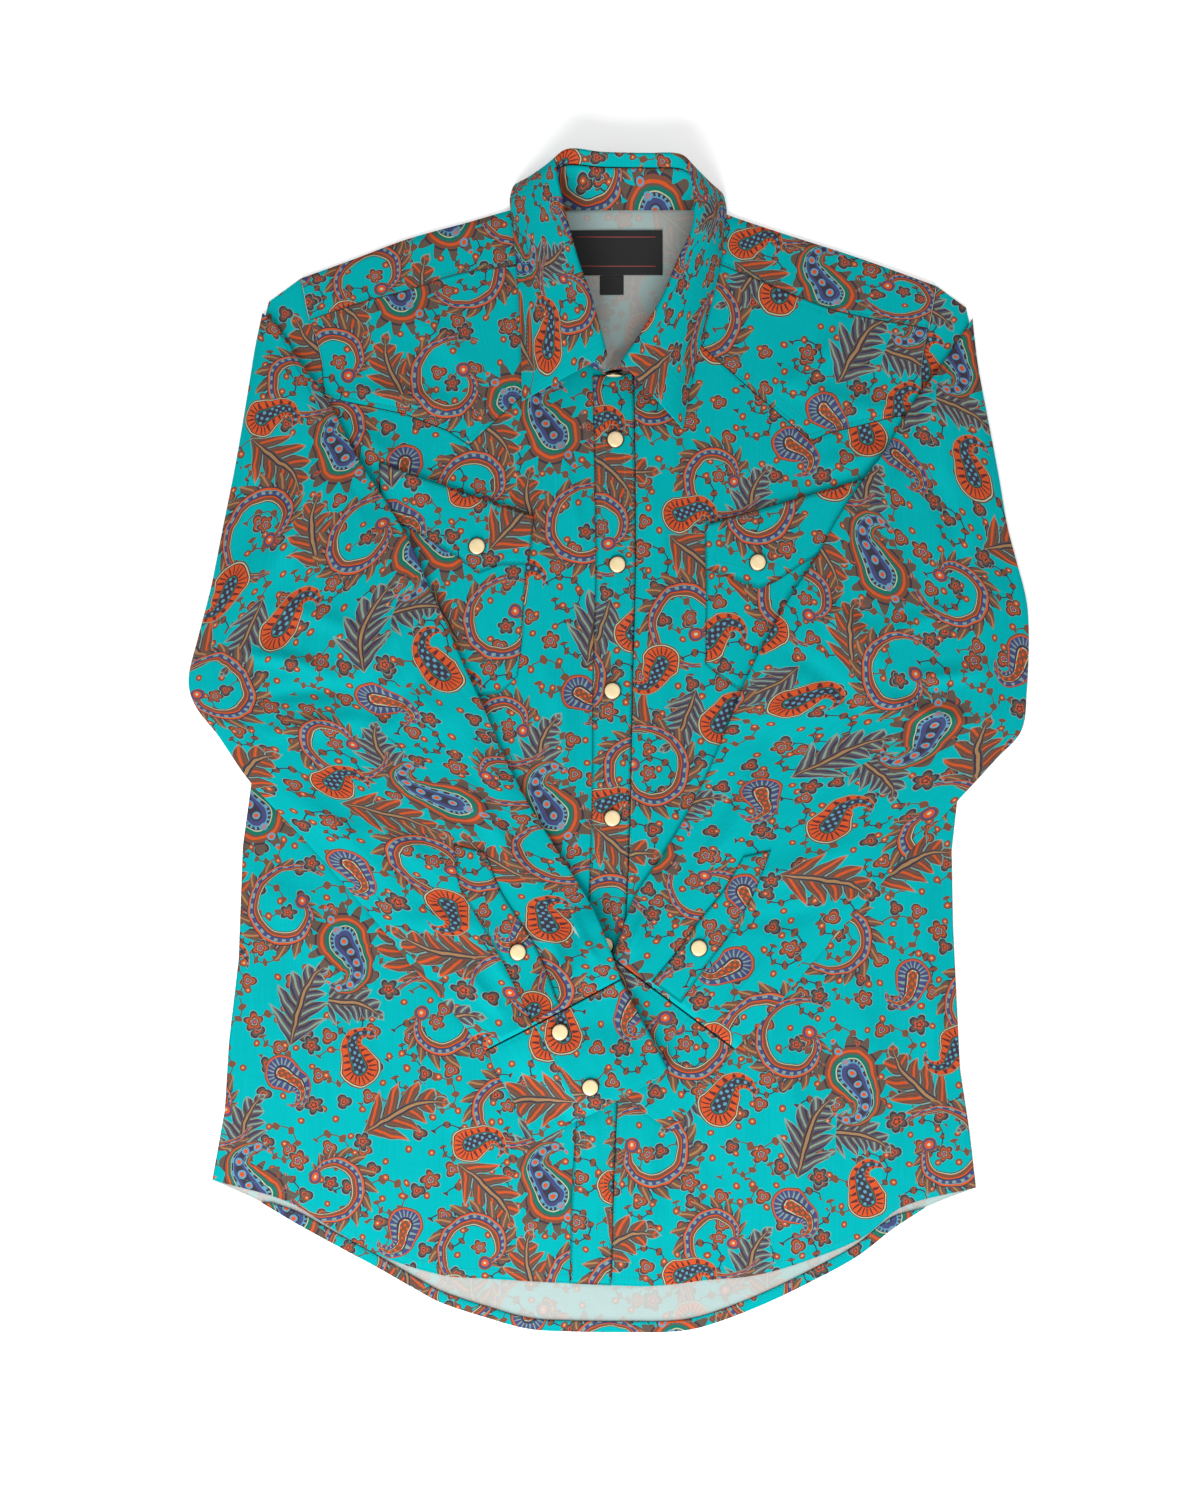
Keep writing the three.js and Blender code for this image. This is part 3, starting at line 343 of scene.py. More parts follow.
# Creases on the sleeves' top ply, in plan
SLEEVE_CREASES = [
    (-262, 62, -196, 46, 6, 1.1), (-252, 30, -180, 34, 7, -0.9), (-240, 96, -176, 74, 8, 0.8),
    (-246, 4, -150, 12, 8, 0.8), (-140, 92, -190, 40, 9, 0.9), (-120, 60, -186, 6, 8, -0.8),
    (-262, 216, -226, 120, 9, 0.8), (-214, 196, -246, 110, 10, 0.9), (-180, -60, -110, -104, 10, 0.8),
    (-110, -30, -60, -100, 8, 0.9), (-76, -196, -104, -158, 5, 0.9), (-60, -186, -92, -136, 4, 0.8),
    (-26, -170, -44, -132, 5, 0.9), (-8, -158, -28, -116, 4, 0.7), (-150, -130, -70, -140, 9, 0.6),
    (272, 52, 214, 46, 6, 1.1), (262, 14, 190, 34, 7, 0.9), (250, 98, 186, 76, 8, 0.8),
    (150, 100, 200, 50, 9, 0.9), (130, 66, 186, 10, 8, -0.8), (274, 214, 240, 120, 9, 0.8),
    (230, 196, 256, 110, 10, -0.9), (180, -70, 104, -100, 10, 0.8), (110, -20, 70, -90, 8, 0.8),
    (84, -202, 108, -160, 5, 0.9), (66, -186, 94, -136, 4, 0.7), (14, -154, 34, -118, 5, 0.8),
    (150, -120, 96, -128, 8, -0.6),
]
PLUMP = 1.8  # how much higher a sleeve is along its middle


def sleeve_rise(u):
    return SLEEVE_THICK - 1.1 * (1 - smoothstep(0, 0.14, u)) - PLEAT_DROP * smoothstep(0.82, 0.845, u)


# Meshes

def lines(length, count):
    """Shares along a side, closer together beside its two ends."""
    rim = np.array(RIM) / length
    inner = np.linspace(0, 1, count + 1)
    inner = inner[(inner > rim[-1] * 1.2) & (inner < 1 - rim[-1] * 1.2)]
    return np.concatenate([rim, inner, 1 - rim[::-1]])


def length_of(side):
    points = side(np.linspace(0, 1, 65))[:, :2]
    return np.hypot(*(points[1:] - points[:-1]).T).sum()


def finished(name, bm, *materials):
    """Makes an object of a bmesh whose places are in mm."""
    bmesh.ops.recalc_face_normals(bm, faces=bm.faces[:])
    bmesh.ops.scale(bm, vec=(0.001, 0.001, 0.001), verts=bm.verts[:])
    for face in bm.faces:
        face.smooth = True
    data = bpy.data.meshes.new(name)
    bm.to_mesh(data)
    bm.free()
    for material in materials:
        data.materials.append(material)
    made = bpy.data.objects.new(name, data)
    bpy.context.scene.collection.objects.link(made)
    return made


def turned(xy, turn, dx, dy):
    a = math.radians(turn)
    x, y = xy[..., 0], xy[..., 1]
    c, s = math.cos(a), math.sin(a)
    return np.stack([x * c + y * s + dx, y * c - x * s + dy], axis=-1)


def wall(name, lower, upper, uv, top, under, edge=None, closed=False):
    """A closed wall of cloth: a grid laid on its lower face, then extruded to its upper one.

    uv is the cloth's own coordinate of each point in mm, and edge the distance from its hemmed edge, stored
    for the materials' painted edge shade.
    """
    rows, columns = lower.shape[:2]
    count = rows * columns
    bm = bmesh.new()
    bmesh.ops.create_grid(bm, x_segments=columns - 1, y_segments=rows - 1, size=1)
    number = bm.verts.layers.int.new("number")
    rim = bm.verts.layers.float.new("edge")
    cloth = bm.loops.layers.uv.new("cloth")
    bm.verts.ensure_lookup_table()
    rims = np.full(count, FAR_IN) if edge is None else np.ravel(edge)
    for k, vert in enumerate(bm.verts):
        vert[number] = k
        vert[rim] = rims[k]
    maps = (uv.reshape(-1, 2) * 0.001).tolist()
    under_side = bm.faces[:]
    for face in under_side:
        face.material_index = 1
        for loop in face.loops:
            loop[cloth].uv = maps[loop.vert[number]]
    if closed:
        pairs = {bm.verts[k * columns + columns - 1]: bm.verts[k * columns] for k in range(rows)}
        bmesh.ops.weld_verts(bm, targetmap=pairs)
        under_side = bm.faces[:]
    made = bmesh.ops.extrude_face_region(bm, geom=under_side)["geom"]
    for part in made:
        if isinstance(part, bmesh.types.BMVert):
            part[number] += count
    top_side = {part for part in made if isinstance(part, bmesh.types.BMFace)}
    known = top_side | set(under_side)
    for face in bm.faces:
        if face in top_side or face not in known:
            face.material_index = 0
        if face not in known:
            for loop in face.loops:
                loop[cloth].uv = maps[loop.vert[number] % count]
    places = np.concatenate([lower.reshape(-1, 3), upper.reshape(-1, 3)]).tolist()
    for vert in bm.verts:
        vert.co = places[vert[number]]
    return finished(name, bm, top, under)


def dented(edge, dent=DENT):
    """How far the stitches press in at a distance from an edge."""
    return dent * np.exp(-((edge - SEAM_IN) / DENT_WIDE) ** 2)


def edge_rise(edge, thick, dent=DENT):
    """Height of a ply over its underside at a distance from its edge: rounded, then dented by a seam."""
    bow = np.sqrt(np.clip(1 - (1 - np.clip(edge / 0.9, 0, 1)) ** 2, 0, 1))
    return thick * (0.2 + 0.8 * bow) - dented(edge, dent)


ALLOWANCE = 10  # seam allowance round a cut piece


def declare(made, node, grid):
    """Hangs a piece from the root and hides the CAD part that it stands for. Its cut size is worked out but
    not kept.
    """
    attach(made, "root")
    if node:
        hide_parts(node)
    du = np.linalg.norm(grid[:, 1:] - grid[:, :-1], axis=-1).sum(axis=1)
    dv = np.linalg.norm(grid[1:] - grid[:-1], axis=-1).sum(axis=0)
    a, b = grid[:-1, 1:] - grid[:-1, :-1], grid[1:, :-1] - grid[:-1, :-1]
    area = np.linalg.norm(np.cross(a, b), axis=-1).sum() * 1e-6
    seam = min(ALLOWANCE, 0.15 * du.max(), 0.15 * dv.max())
    width, length = (du.max() + 2 * seam) / 1000, (dv.max() + 2 * seam) / 1000
    area = min(width * length, max(0.31 * width * length, area * 1.08))


def panel(name, node, sides, level, across, along, material, under=None, print_at=(0, 0, 0), thick=CLOTH,
          rests_on=("back",), dent=DENT):
    """A ply of cloth over a patch, laid at a level. Its turn and shift place it on the print."""
    shape = patch(**sides)
    wide = (length_of(sides["bottom"]) + length_of(sides["top"])) / 2
    tall = (length_of(sides["left"]) + length_of(sides["right"])) / 2
    u, v = np.meshgrid(lines(wide, across), lines(tall, along))
    plan = shape(u, v)
    x, y = plan[..., 0], plan[..., 1]
    edge = np.minimum.reduce([u * wide, (1 - u) * wide, v * tall, (1 - v) * tall])
    z = level(x, y)
    lower = np.stack([x, y, z], axis=-1)
    upper = np.stack([x, y, z + edge_rise(edge, thick, dent)], axis=-1)
    made = wall(name, lower, upper, turned(plan, *print_at), material, under or material, edge)
    declare(made, node, upper)
    return dict(object=made, shape=shape, wide=wide, tall=tall, level=level, thick=thick)


def top_of(made, gap=0):
    """A function giving the height of an object's top face and a gap, in mm, at points in plan."""
    mesh = made.data
    faces = BVHTree.FromPolygons([v.co for v in mesh.vertices], [p.vertices for p in mesh.polygons])

    def height(x, y):
        flat = []
        for px, py in zip(np.ravel(x), np.ravel(y)):
            hit = faces.ray_cast(Vector((px * 0.001, py * 0.001, 0.2)), Vector((0, 0, -1)))[0]
            flat.append(hit.z * 1000 if hit else np.nan)
        flat = np.array(flat)
        flat[np.isnan(flat)] = np.nanmean(flat)
        return flat.reshape(np.shape(x)) + gap

    return height


# Stitches: short threads laid along a line, all joined in one mesh

STITCH_PITCH = 2.9
STITCH_LONG = 2.1
STITCH_WIDE = 0.42
threads = []


def sew(points):
    """Lays stitches along a line of points in mm."""
    points = np.asarray(points, float)
    step = np.linalg.norm(points[1:] - points[:-1], axis=1)
    along = np.concatenate([[0], np.cumsum(step)])
    count = int(along[-1] / STITCH_PITCH)
    for i in range(count):
        ends = [(i + 0.5) * STITCH_PITCH + side * STITCH_LONG / 2 for side in (-1, 1)]
        threads.append([[np.interp(s, along, points[:, k]) for k in range(3)] for s in ends])


def sew_side(piece, side, inset=SEAM_IN):
    """Stitches a panel beside one of its sides."""
    t = np.linspace(0, 1, 90)
    u = dict(left=inset / piece["wide"], right=1 - inset / piece["wide"]).get(side)
    v = dict(bottom=inset / piece["tall"], top=1 - inset / piece["tall"]).get(side)
    trim = inset / (piece["tall"] if u is not None else piece["wide"])
    t = np.clip(t, trim, 1 - trim)
    u, v = (np.full_like(t, u), t) if u is not None else (t, np.full_like(t, v))
    x, y = piece["shape"](u, v)[:, :2].T
    sew(np.stack([x, y, piece["level"](x, y) + piece["thick"] + 0.02], axis=-1))


def make_stitches(material):
    """One stitch, doubled until there are enough, and each laid along its own thread."""
    bm = bmesh.new()
    number = bm.verts.layers.int.new("number")
    bmesh.ops.create_uvsphere(bm, u_segments=5, v_segments=3, radius=1)
    bmesh.ops.rotate(bm, verts=bm.verts[:], matrix=Matrix.Rotation(math.pi / 2, 3, "Y"))
    made = 1
    while made < len(threads):
        copies = bmesh.ops.duplicate(bm, geom=bm.faces[:])["geom"]
        for part in copies:
            if isinstance(part, bmesh.types.BMVert):
                part[number] += made
        made *= 2
    spare = [vert for vert in bm.verts if vert[number] >= len(threads)]
    bmesh.ops.delete(bm, geom=spare, context="VERTS")
    places = []
    for a, b in threads:
        a, b = Vector(a), Vector(b)
        turn = (b - a).to_track_quat("X", "Z").to_matrix().to_4x4()
        places.append(Matrix.Translation((a + b) / 2) @ turn)
    for vert in bm.verts:
        x, y, z = vert.co
        local = Vector((x * STITCH_LONG / 2, y * STITCH_WIDE / 2, z * STITCH_WIDE / 2))
        vert.co = places[vert[number]] @ local
    made = finished("stitches", bm, material)
    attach(made, "root")


# Materials

tree = None  # the node tree being built


class Wire:
    """An output in the tree being built. Arithmetic on it adds Math nodes."""

    def __init__(self, socket):
        self.socket = socket

    def __add__(self, other):
        return calc("ADD", self, other)

    __radd__ = __add__

    def __sub__(self, other):
        return calc("SUBTRACT", self, other)

    def __rsub__(self, other):
        return calc("SUBTRACT", other, self)

    def __mul__(self, other):
        return calc("MULTIPLY", self, other)

    __rmul__ = __mul__

    def __truediv__(self, other):
        return calc("DIVIDE", self, other)


def set_inputs(made, inputs):
    """Sets inputs of a node or shader, each to a number, to a colour or to an output."""
    for key, value in inputs:
        if isinstance(value, Wire):
            tree.links.new(value.socket, made.inputs[key])
        else:
            made.inputs[key].default_value = value


def node(kind, inputs=(), out=0, **settings):
    made = tree.nodes.new(kind)
    for name, value in settings.items():
        setattr(made, name, value)
    set_inputs(made, inputs)
    return Wire(made.outputs[out])


def calc(operation, *values):
    return node("ShaderNodeMath", enumerate(values), operation=operation)


def vector(operation, *values, out=0):
    return node("ShaderNodeVectorMath", enumerate(values), out, operation=operation)


def blend(kind, a, b, factor):
    first, out = dict(FLOAT=(2, 0), VECTOR=(4, 1), RGBA=(6, 2))[kind]
    return node("ShaderNodeMix", [(0, factor), (first, a), (first + 1, b)], out, data_type=kind)


def apart(value):
    made = tree.nodes.new("ShaderNodeSeparateXYZ")
    tree.links.new(value.socket, made.inputs[0])
    return [Wire(socket) for socket in made.outputs]


def less(a, b):
    return calc("LESS_THAN", a, b)


def more(a, b):
    return calc("GREATER_THAN", a, b)


def times_plus(value, factor, plus):
    return calc("MULTIPLY_ADD", value, factor, plus)


def distance(x, y):
    """How far a point is from the middle."""
    return calc("SQRT", times_plus(x, x, y * y))


def round_share(x, y):
    """How far round the middle a point lies, from 0 to 1."""
    return times_plus(calc("ARCTAN2", y, x), 1 / (2 * math.pi), 0.5)


def paint(below, colour, mask):
    return blend("RGBA", below, colour, mask)


def multiplied(colour, factor):
    inputs = [(0, 1.0), (6, colour), (7, factor)]
    return node("ShaderNodeMix", inputs, 2, data_type="RGBA", blend_type="MULTIPLY")


def scaled(where, factor):
    return node("ShaderNodeVectorMath", [(0, where), ("Scale", factor)], operation="SCALE")


def noise(where, scale, detail, roughness=0.5, out=0):
    inputs = [("Vector", where), ("Scale", scale), ("Detail", detail), ("Roughness", roughness)]
    return node("ShaderNodeTexNoise", inputs, out)


def both(*masks):
    """Where every mask is 1."""
    total = masks[0]
    for mask in masks[1:]:
        total = total * mask
    return total


def bands(value, stops, full=1.0):
    """Flat bands of colour out to full: each stop is where a band starts, and its colour."""
    made = tree.nodes.new("ShaderNodeValToRGB")
    ramp = made.color_ramp
    ramp.interpolation = "CONSTANT"
    for _ in stops[2:]:
        ramp.elements.new(1)
    for element, (start, colour) in zip(ramp.elements, stops):
        element.position = start / full
        element.color = colour
    scaled = value if full == 1.0 else value * (1 / full)
    tree.links.new(scaled.socket, made.inputs[0])
    return Wire(made.outputs[0])


def ink(red, green, blue):
    """A linear colour from one read off a screen, 0 to 255."""
    parts = [c / 255 for c in (red, green, blue)]
    return (*[c / 12.92 if c <= 0.04045 else ((c + 0.055) / 1.055) ** 2.4 for c in parts], 1)


TURQUOISE = ink(0, 169, 173)
ORANGE = ink(204, 84, 42)
RUST = ink(122, 76, 58)
BROWN = ink(96, 82, 72)
DARK = ink(62, 56, 68)
MAROON = ink(92, 48, 52)
VIOLET = ink(68, 74, 118)
SKY = ink(92, 150, 176)
GREY = ink(124, 150, 142)
CREAM = ink(184, 186, 152)
GREEN = ink(22, 112, 96)
MUSTARD = ink(158, 122, 84)

# The print's repeat, and where each motif lies in it
TILE = (184, 236)
PRINT_SCALE = 1.16  # mm of cloth to one step of the tables
TEARDROPS = [
    # x, y, turn, size, kind: 0 orange, 1 blue, 2 large with a leafy edge
    (30, 34, -20, 23, 0), (122, 92, 28, 24, 0), (58, 172, 190, 21, 1), (150, 190, -35, 31, 2),
    (98, 222, 65, 21, 0), (20, 112, 150, 30, 2), (166, 30, 120, 21, 1), (86, 130, 205, 22, 0),
]
SCROLLS = [
    # x, y, turn, size, kind: 0 as drawn, 1 mirrored
    (78, 62, 30, 34, 0), (170, 130, 140, 33, 1), (104, 158, 250, 32, 0), (12, 198, 20, 31, 1),
    (122, 10, 200, 30, 0),
]
PLUMES = [
    (58, 8, 60, 30, 0), (178, 76, 15, 30, 1), (58, 106, -50, 30, 0), (24, 74, 95, 25, 1),
    (112, 192, 130, 28, 0), (142, 232, 10, 26, 1), (134, 146, -15, 26, 0), (100, 92, 200, 24, 1),
]
FLOWERS = [
    (104, 44, 0, 7, 0), (48, 82, 20, 7.5, 1), (148, 62, 50, 6.5, 0), (62, 142, 0, 7, 1),
    (28, 158, 30, 6.5, 0), (184, 160, 0, 6, 1), (74, 200, 40, 7, 0), (32, 224, 10, 6.5, 1),
    (176, 212, 0, 7, 0), (0, 48, 25, 6.5, 1), (152, 108, 5, 6, 0), (2, 10, 35, 6.5, 1),
]
BODY_WIDTH = 0.56  # half width of a teardrop's body, as a share of its size
QUARTER = BODY_WIDTH * math.pi / 2


def pick(where, spots):
    """Coordinates in the nearest motif of a table, in its own size, with its kind."""
    local = near = facts = None
    for x, y, turn, size, kind in spots:
        offset = vector("SUBTRACT", where, (x, y, 0))
        offset = vector("WRAP", offset, (TILE[0] / 2, TILE[1] / 2, 1), (-TILE[0] / 2, -TILE[1] / 2, -1))
        away = vector("LENGTH", offset, out=1) / size
        these = (math.radians(turn), 1 / size, kind)
        if local is None:
            local, near, facts = offset, away, node("ShaderNodeCombineXYZ", enumerate(these))
        else:
            closer = less(away, near)
            local = blend("VECTOR", local, offset, closer)
            facts = blend("VECTOR", facts, these, closer)
            near = calc("MINIMUM", near, away)
    turn, scale, kind = apart(facts)
    local = node("ShaderNodeVectorRotate", [(0, local), (3, turn)], rotation_type="Z_AXIS")
    x, y, _ = apart(local)
    return x * scale, y * scale, kind


def unrolled(x, y, start, radius):
    """Unrolls a spine that is straight up to y = start and then curls to +x: (aside, along)."""
    rise = y - start
    curls = more(rise, 0.0)
    from_centre = calc("SUBTRACT", radius, x)
    reach = distance(from_centre, rise)
    turn = calc("ARCTAN2", rise, from_centre)
    aside = blend("FLOAT", x, radius - reach, curls)
    return aside, blend("FLOAT", y, times_plus(turn, radius, start), curls)


def teardrops(where, ground):
    """Teardrops with a curled tip, ringed inside with petals and seeds."""
    x, y, kind = pick(where, TEARDROPS)
    aside, along = unrolled(x, y, 0.5, 0.36)
    side = calc("ABSOLUTE", aside)
    taper = node("ShaderNodeClamp", [(0, times_plus(along, -1 / 1.62, 1.0))])
    low = calc("MINIMUM", along, 0.0)
    reach = distance(side, low)
    f = reach / calc("MAXIMUM", calc("POWER", taper, 1.1) * BODY_WIDTH, 0.01)
    round_foot = calc("ARCTAN2", side, along * -1.0) * BODY_WIDTH
    p = blend("FLOAT", round_foot, along + QUARTER, more(along, 0.0))
    petal = calc("COSINE", p * 34.0)
    orange = bands(f, [(0, DARK), (0.3, GREEN), (0.36, MAROON), (0.42, ORANGE), (0.84, MAROON),
                       (0.89, CREAM), (0.94, BROWN)], 1.5)
    blue = bands(f, [(0, RUST), (0.26, CREAM), (0.32, DARK), (0.42, VIOLET), (0.84, ORANGE),
                     (0.92, BROWN)], 1.5)
    large = bands(f, [(0, DARK), (0.2, VIOLET), (0.36, SKY), (0.4, DARK), (0.52, CREAM), (0.56, GREEN),
                      (0.68, BROWN), (0.76, ORANGE), (0.86, RUST), (0.98, DARK), (1.06, BROWN)], 1.5)
    is_blue = calc("COMPARE", kind, 1.0, 0.5)
    is_large = more(kind, 1.5)
    colour = paint(orange, blue, is_blue)
    ticks = paint(MAROON, GREY, is_blue)
    tick = both(more(f, 0.45), less(f, 0.82),
                more(petal, times_plus(f, 2.2, -0.9)))
    colour = paint(colour, ticks, tick)
    dot = calc("COSINE", along * 30.0) * calc("COSINE", aside * 30.0)
    seed = both(more(dot, 0.35), less(f, 0.32))
    colour = paint(colour, paint(SKY, ORANGE, is_blue), seed)
    bead = calc("SQRT", times_plus(side, side, calc("POWER", calc("PINGPONG", along, 0.13), 2.0)))
    big = paint(large, SKY, less(bead, 0.08))
    big = paint(big, ORANGE, less(bead, 0.045))
    spots = both(more(f, 0.4), less(f, 0.5), more(petal, 0.1))
    big = paint(big, SKY, spots)
    colour = paint(colour, big, is_large)
    leafy = times_plus(calc("COSINE", p * 23.0), 0.24, 1.2)
    reach_of = blend("FLOAT", 1.0, leafy, is_large)
    inside = both(less(f, reach_of), less(along, 1.6), more(along, -0.9))
    return paint(ground, colour, inside)


def scrolls(where, ground):
    """Hooks that widen and narrow again, with a crest of slanted leaves outside."""
    x, y, kind = pick(where, SCROLLS)
    y = y * times_plus(kind, -2.0, 1.0)
    radius = distance(x, y)
    share = round_share(x, y)
    spine = times_plus(share, 0.6, 0.34)
    wide = times_plus(calc("SINE", calc("POWER", share, 0.8) * math.pi), 0.17, 0.03)
    g = (radius - spine) / wide
    leaf = calc("PINGPONG", times_plus(share, 15.0, g * -0.35), 0.5) * 2.0
    body = bands(g + 1.0, [(0, DARK), (0.08, CREAM), (0.16, RUST), (0.46, ORANGE), (0.58, DARK),
                           (0.66, VIOLET), (1.06, GREY), (1.12, ORANGE), (1.3, DARK)], 3.0)
    dots = both(more(calc("SINE", share * 150.0), 0.1), calc("COMPARE", g, -0.1, 0.13))
    body = paint(body, GREY, dots)
    crest = bands(leaf, [(0, GREY), (0.12, DARK), (0.36, BROWN), (0.7, RUST), (0.88, MUSTARD)])
    body = paint(body, crest, more(g, 0.4))
    inside = both(less(g, times_plus(leaf, 1.3, 0.5)), more(g, -1.0), less(share, 0.98))
    colour = paint(ground, body, inside)
    from_bulb = vector("ADD", node("ShaderNodeCombineXYZ", [(0, x), (1, y)]), (0.33, 0, 0))
    bulb = vector("LENGTH", from_bulb, out=1)
    curl = bands(bulb, [(0, CREAM), (0.03, ORANGE), (0.08, VIOLET), (0.11, RUST)], 0.2)
    colour = paint(colour, curl, less(bulb, 0.14))
    return blossom(x, y, colour, 5, kind, 0.17)


def plumes(where, ground):
    """Plumes of pointed leaves on a curving stem."""
    x, y, kind = pick(where, PLUMES)
    aside, along = unrolled(x, y, 0.0, 1.2)
    share = node("ShaderNodeClamp", [(0, times_plus(along, 0.5, 0.5))])
    off = calc("ABSOLUTE", aside)
    leaf = calc("PINGPONG", times_plus(share, 5.0, off * -2.2), 0.5) * 2.0
    full = calc("SINE", calc("POWER", share, 0.8) * math.pi) * 0.6
    wide = full * times_plus(calc("POWER", leaf, 0.6), 0.75, 0.3)
    colour = bands(leaf, [(0, GREY), (0.1, DARK), (0.22, BROWN), (0.4, RUST), (0.58, DARK), (0.64, RUST),
                          (0.86, ORANGE)])
    other = bands(leaf, [(0, GREY), (0.1, BROWN), (0.3, DARK), (0.5, VIOLET), (0.62, BROWN), (0.86, GREY)])
    colour = paint(colour, other, kind)
    heart = off / calc("MAXIMUM", full, 0.01)
    core = bands(heart, [(0, MUSTARD), (0.05, DARK), (0.11, BROWN)])
    colour = paint(colour, core, less(heart, 0.15))
    rim = more(off, wide - 0.035)
    colour = paint(colour, GREY, rim)
    return paint(ground, colour, both(less(off, wide), less(calc("ABSOLUTE", along), 0.99)))


def blossom(x, y, ground, petals, kind, size=1.0):
    """A flower of round petals about the middle, of one of two kinds."""
    radius = distance(x, y) / size
    lobe = calc("ABSOLUTE", calc("COSINE", calc("ARCTAN2", y, x) * (petals / 2)))
    f = radius / times_plus(lobe, 0.42, 0.6)
    warm = bands(f, [(0, ORANGE), (0.14, VIOLET), (0.28, CREAM), (0.33, RUST), (0.55, ORANGE), (0.66, RUST),
                     (0.8, DARK), (0.93, GREY)])
    cool = bands(f, [(0, ORANGE), (0.16, DARK), (0.3, ORANGE), (0.42, BROWN), (0.7, DARK), (0.92, GREY)])
    return paint(ground, paint(warm, cool, kind), less(f, 1.0))


def flowers(where, ground):
    x, y, kind = pick(where, FLOWERS)
    return blossom(x, y, ground, 5, kind)


def scattered(where, pitch, seed):
    """Coordinates about the nearest of many scattered points, a pitch apart, and one of two kinds."""
    spread = scaled(vector("ADD", where, (seed, seed * 1.7, 0)), 1 / pitch)
    inputs = [("Vector", spread), ("Scale", 1.0), ("Randomness", 0.75)]
    middle = node("ShaderNodeTexVoronoi", inputs, "Position", voronoi_dimensions="2D")
    colour = Wire(middle.socket.node.outputs["Color"])
    x, y, _ = apart(vector("SUBTRACT", spread, middle))
    return x, y, more(apart(colour)[0], 0.5)


def seeds(where, ground):
    """Small rings and three-leaved sprigs between the motifs."""
    x, y, kind = scattered(where, 25, 5)
    ground = blossom(x, y, ground, 3, kind, 0.22)
    x, y, kind = scattered(where, 16, 3)
    radius = distance(x, y)
    ring = bands(radius, [(0, CREAM), (0.03, ORANGE), (0.08, RUST), (0.11, BROWN)], 0.2)
    return paint(ground, ring, less(radius, 0.14))


def tendrils(where, ground):
    """Thin stems with buds, curling between the motifs."""
    x, y, kind = scattered(where, 34, 11)
    radius = distance(x, y)
    angle = round_share(x, y)
    off = calc("ABSOLUTE", radius - times_plus(angle, 0.28, 0.16))
    bud = calc("SINE", angle * 50.0)
    wide = times_plus(calc("MAXIMUM", bud, 0.0), 0.07, 0.012)
    colour = paint(BROWN, DARK, kind)
    colour = paint(colour, RUST, more(bud, 0.7))
    return paint(ground, colour, both(less(off, wide), less(angle, 0.9)))


def print_group():
    """The print, from the cloth's own coordinates in metres."""
    global tree
    group = bpy.data.node_groups.new("Print", "ShaderNodeTree")
    group.interface.new_socket("Vector", in_out="INPUT", socket_type="NodeSocketVector")
    group.interface.new_socket("Color", in_out="OUTPUT", socket_type="NodeSocketColor")
    tree = group
    entry = Wire(group.nodes.new("NodeGroupInput").outputs[0])
    where = scaled(entry, 1000 / PRINT_SCALE)
    waver = vector("SUBTRACT", noise(where, 0.09, 1.0, out=1), (0.5, 0.5, 0.5))
    where = vector("MULTIPLY_ADD", waver, (3.0, 3.0, 0), where)
    colour = node("ShaderNodeRGB")
    colour.socket.default_value = TURQUOISE
    for motifs in (tendrils, seeds, plumes, scrolls, flowers, teardrops):
        colour = motifs(where, colour)
    out = group.nodes.new("NodeGroupOutput")
    group.links.new(colour.socket, out.inputs[0])
    return group


def new_material(name):
    """Starts a material and its node tree, and returns it with its shader."""
    global tree
    material = bpy.data.materials.new(name)
    material.use_nodes = True
    tree = material.node_tree
    return material, tree.nodes["Principled BSDF"]


def cloth_material(name, fade=0.0, tint=(1, 1, 1, 1), edge_shade_tone=0.84, edge_shade_width=1.3):
    """Printed cotton, faded towards a tint, with painted shade along its edges: darker there by the given
    tone, within the given width.
    """
    material, shader = new_material(name)
    uv = node("ShaderNodeUVMap", uv_map="cloth")
    printed = node("ShaderNodeGroup", [(0, uv)], node_tree=PRINT)
    slub = noise(vector("MULTIPLY", uv, (900, 30, 1)), 1.0, 2.0)
    weft = noise(vector("MULTIPLY", uv, (40, 1100, 1)), 1.0, 1.0)
    washed = multiplied(printed, times_plus(slub, 0.18, 0.7))
    # Painted shade: the colour darkens towards each piece's edges, standing in for the shadow that gathers
    # along them.
    edge = node("ShaderNodeAttribute", out=2, attribute_name="edge")
    seam = blend("FLOAT", edge_shade_tone, 1.0, node("ShaderNodeMapRange", [(0, edge), (1, 0.2), (2, edge_shade_width)]))
    crumple = noise(uv, 55.0, 3.0, 0.55)
    height = times_plus(slub, 0.25, times_plus(weft, 0.2, crumple * 2.4))
    bump = node("ShaderNodeBump", [("Strength", 0.35), ("Distance", 0.0006), ("Height", height)])
    set_inputs(shader, [
        ("Base Color", multiplied(paint(washed, tint, fade), seam)),
        ("Normal", bump),
        ("Roughness", times_plus(weft, 0.2, 0.68)),
        ("Specular IOR Level", 0.03),
        ("Sheen Weight", 0.01),
        ("Sheen Roughness", 0.4),
    ])
    return material


def simple_material(name, colour, roughness, metallic=0.0, coat=0.0, grain=0.0, scale=900):
    """A material with a little uneven colour and grain."""
    material, shader = new_material(name)
    place = Wire(tree.nodes.new("ShaderNodeTexCoord").outputs["Object"])
    speckle = noise(place, scale, 3.0)
    dark = tuple(c * (1 - grain) for c in colour[:3]) + (1,)
    bump = node("ShaderNodeBump", [("Strength", 0.2), ("Distance", 0.0001), ("Height", speckle)])
    set_inputs(shader, [
        ("Base Color", paint(dark, colour, speckle)),
        ("Normal", bump),
        ("Roughness", times_plus(speckle, 0.15, roughness - 0.07)),
        ("Metallic", metallic),
        ("Coat Weight", coat),
    ])
    return material


